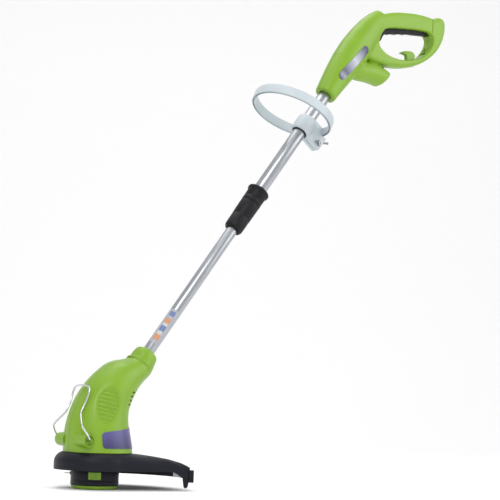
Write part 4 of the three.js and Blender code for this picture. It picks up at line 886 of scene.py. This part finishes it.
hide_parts("handle_near", "handle_far")

# ---------------------------------------------------------------- handle badge
# A long satin aluminium plate with round ends, bonded into the barrel's near side. Its own tint
# is slate; the pale silver bands along it, brightest in the middle, are painted reflections.
badge_plate_with_painted_reflections, badge_tree, badge_bsdf = shader("badge_painted_reflections", srgb(150, 153, 170), 0.34, 0.6)
badge_along = badge_tree.nodes.new("ShaderNodeVectorMath")
badge_along.operation = "DOT_PRODUCT"
badge_along.inputs[1].default_value = SHAFT_AXIS
badge_place = badge_tree.nodes.new("ShaderNodeTexCoord").outputs["Object"]
badge_tree.links.new(badge_place, badge_along.inputs[0])
badge_spots = [v.co.dot(SHAFT_AXIS) for v in frame["nodes"]["handle_badge"].data.vertices]
badge_span = badge_tree.nodes.new("ShaderNodeMapRange")
badge_span.inputs["From Min"].default_value = min(badge_spots)
badge_span.inputs["From Max"].default_value = max(badge_spots)
badge_tree.links.new(badge_along.outputs["Value"], badge_span.inputs["Value"])
# Slate at the ends; the paler stops below are painted reflections laid along the plate.
badge_painted_reflection_bands = badge_tree.nodes.new("ShaderNodeValToRGB")
badge_painted_reflection_bands.color_ramp.elements[0].color = srgb(70, 72, 92)
badge_painted_reflection_bands.color_ramp.elements[1].color = srgb(62, 64, 84)
# The light grey and silver stops are painted reflections, not the plate's own colour.
for share, tint in ((0.1, (132, 134, 146)), (0.2, (84, 86, 104)), (0.55, (158, 160, 168)),
                    (0.88, (86, 88, 106))):
    badge_painted_reflection_bands.color_ramp.elements.new(share).color = srgb(*tint)
badge_tree.links.new(badge_span.outputs["Result"], badge_painted_reflection_bands.inputs["Fac"])
badge_tree.links.new(badge_painted_reflection_bands.outputs["Color"], badge_bsdf.inputs["Base Color"])
bump(badge_tree, badge_bsdf, noise(badge_tree, badge_place, 900), 0.1, 0.00003)

# ---------------------------------------------------------------- trigger and cord hook
# The black finger lever turns on a steel pin at its rear end and has shallow finger scallops.
# The green hook below it holds a loop of the extension lead.
TRIGGER_OUTLINE = closed_curve([
    (131.5, 127), (136.5, 127.5), (143, 138.5), (150, 144.5), (163, 146), (170, 148.5),
    (184, 149.5), (192, 152.5), (206, 153), (214, 155.5), (230, 156.5), (250, 158.5),
    (272, 161), (274, 168), (270, 174), (240, 173), (200, 170), (165, 167.5), (148, 163),
    (137, 148), (130, 133),
], 110)
trigger = plate("trigger_skin", TRIGGER_OUTLINE, 6.5, 1.8, black_plastic)
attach(trigger, "trigger_lever")
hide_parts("trigger")
HOOK_OUTLINE = closed_curve([
    (214, 88), (232, 88), (232, 100), (237, 112), (228, 119.5), (208, 118), (198, 112.5),
    (206, 111), (213, 109), (214, 100),
], 70)
hook = plate("cord_hook_skin", HOOK_OUTLINE, 5, 1.4, green_plastic)
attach(hook, "rear_handle")
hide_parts("cord_hook")

# ---------------------------------------------------------------- metal and inner pieces
# Screws, cutter, bolt, wing nut, contacts, line and the motor's inner parts keep their solid
# shapes, each in the finish of its own stuff.
steel = polished("zinc_plated_steel", srgb(150, 153, 158), 0.3)
brass = polished("contact_brass", srgb(196, 160, 78), 0.28)
copper = polished("commutator_copper", srgb(184, 120, 70), 0.32)
nylon = moulded("cutting_line_nylon", srgb(222, 228, 190), 0.4, 0.1)
rubber = moulded("lead_rubber", srgb(32, 32, 35), 0.62, 0.2)
FINISHES = {
    "steel": steel, "chrome": chrome, "tube": tube_metal, "brass": brass, "copper": copper,
    "line": nylon, "rubber": rubber, "black": black_plastic, "green": cap_green,
    "pale": pale_plastic, "purple": label_film, "slate": badge_plate_with_painted_reflections,
}
for entry in frame["record"]["subparts"]:
    node = frame["nodes"][entry["node"]]
    if not node.hide_render:
        node.data.materials.clear()
        node.data.materials.append(FINISHES[entry["material_slot"]])

# ---------------------------------------------------------------- studio
# A white paper sweep and three soft area lights round the tool, which stands on its spool cap.
# The camera is low and to the front left.
sweep_profile = [(-6.0, 0.0), (2.4, 0.0)]
for i in range(1, 13):
    bend = math.pi / 2 * i / 12
    sweep_profile.append((2.4 + 1.6 * math.sin(bend), 1.6 * (1 - math.cos(bend))))
sweep_profile.append((4.0, 6.0))
VIEW_TURN = math.radians(-32.4)
sweep_white, sweep_tree, sweep_bsdf = shader("paper_sweep", grey(0.97), 0.9)
sweep_place = sweep_tree.nodes.new("ShaderNodeTexCoord").outputs["Object"]
bump(sweep_tree, sweep_bsdf, noise(sweep_tree, sweep_place, 30), 0.02, 0.0002)
sweep_points, sweep_faces = [], []
for side in (-7, 7):
    for reach, height in sweep_profile:
        place = Vector((side, reach, height - 0.0004))
        sweep_points.append(Matrix.Rotation(VIEW_TURN, 3, "Z") @ place)
for i in range(len(sweep_profile) - 1):
    sweep_faces.append((i, i + 1, i + 1 + len(sweep_profile), i + len(sweep_profile)))
sweep = mesh_piece("paper_sweep", sweep_points, sweep_faces, sweep_white, 80)

world = bpy.data.worlds.new("studio_air")
bpy.context.scene.world = world
world.use_nodes = True
world.node_tree.nodes["Background"].inputs["Color"].default_value = (1, 1, 1, 1)
world.node_tree.nodes["Background"].inputs["Strength"].default_value = 0.8


def soft_light(name, place, target, size, power):
    lamp = bpy.data.lights.new(name, "AREA")
    lamp.size = size
    lamp.energy = power
    light = bpy.data.objects.new(name, lamp)
    light.location = place
    aim = Vector(target) - Vector(place)
    light.rotation_euler = aim.to_track_quat("-Z", "Y").to_euler()
    bpy.context.scene.collection.objects.link(light)


soft_light("key_light", (-1.6, -1.9, 2.3), (0.25, 0, 0.45), 1.4, 34)
soft_light("fill_light", (1.9, -1.6, 1.3), (0.3, 0, 0.4), 1.6, 16)
soft_light("top_light", (0.3, 0.4, 2.8), (0.3, 0, 0.4), 1.8, 22)

camera_data = bpy.data.cameras.new("camera")
camera_data.sensor_width = 36
camera_data.lens = 111.68
camera = bpy.data.objects.new("camera", camera_data)
camera.matrix_world = Matrix((
    (0.78799774, -0.08417236, -0.60989718, -1.48828),
    (-0.61481098, -0.05502176, -0.78675286, -2.34604),
    (0.03266523, 0.99493096, -0.09510712, 0.16731),
    (0, 0, 0, 1),
))
bpy.context.scene.collection.objects.link(camera)
bpy.context.scene.camera = camera
bpy.context.scene.view_settings.view_transform = "Standard"
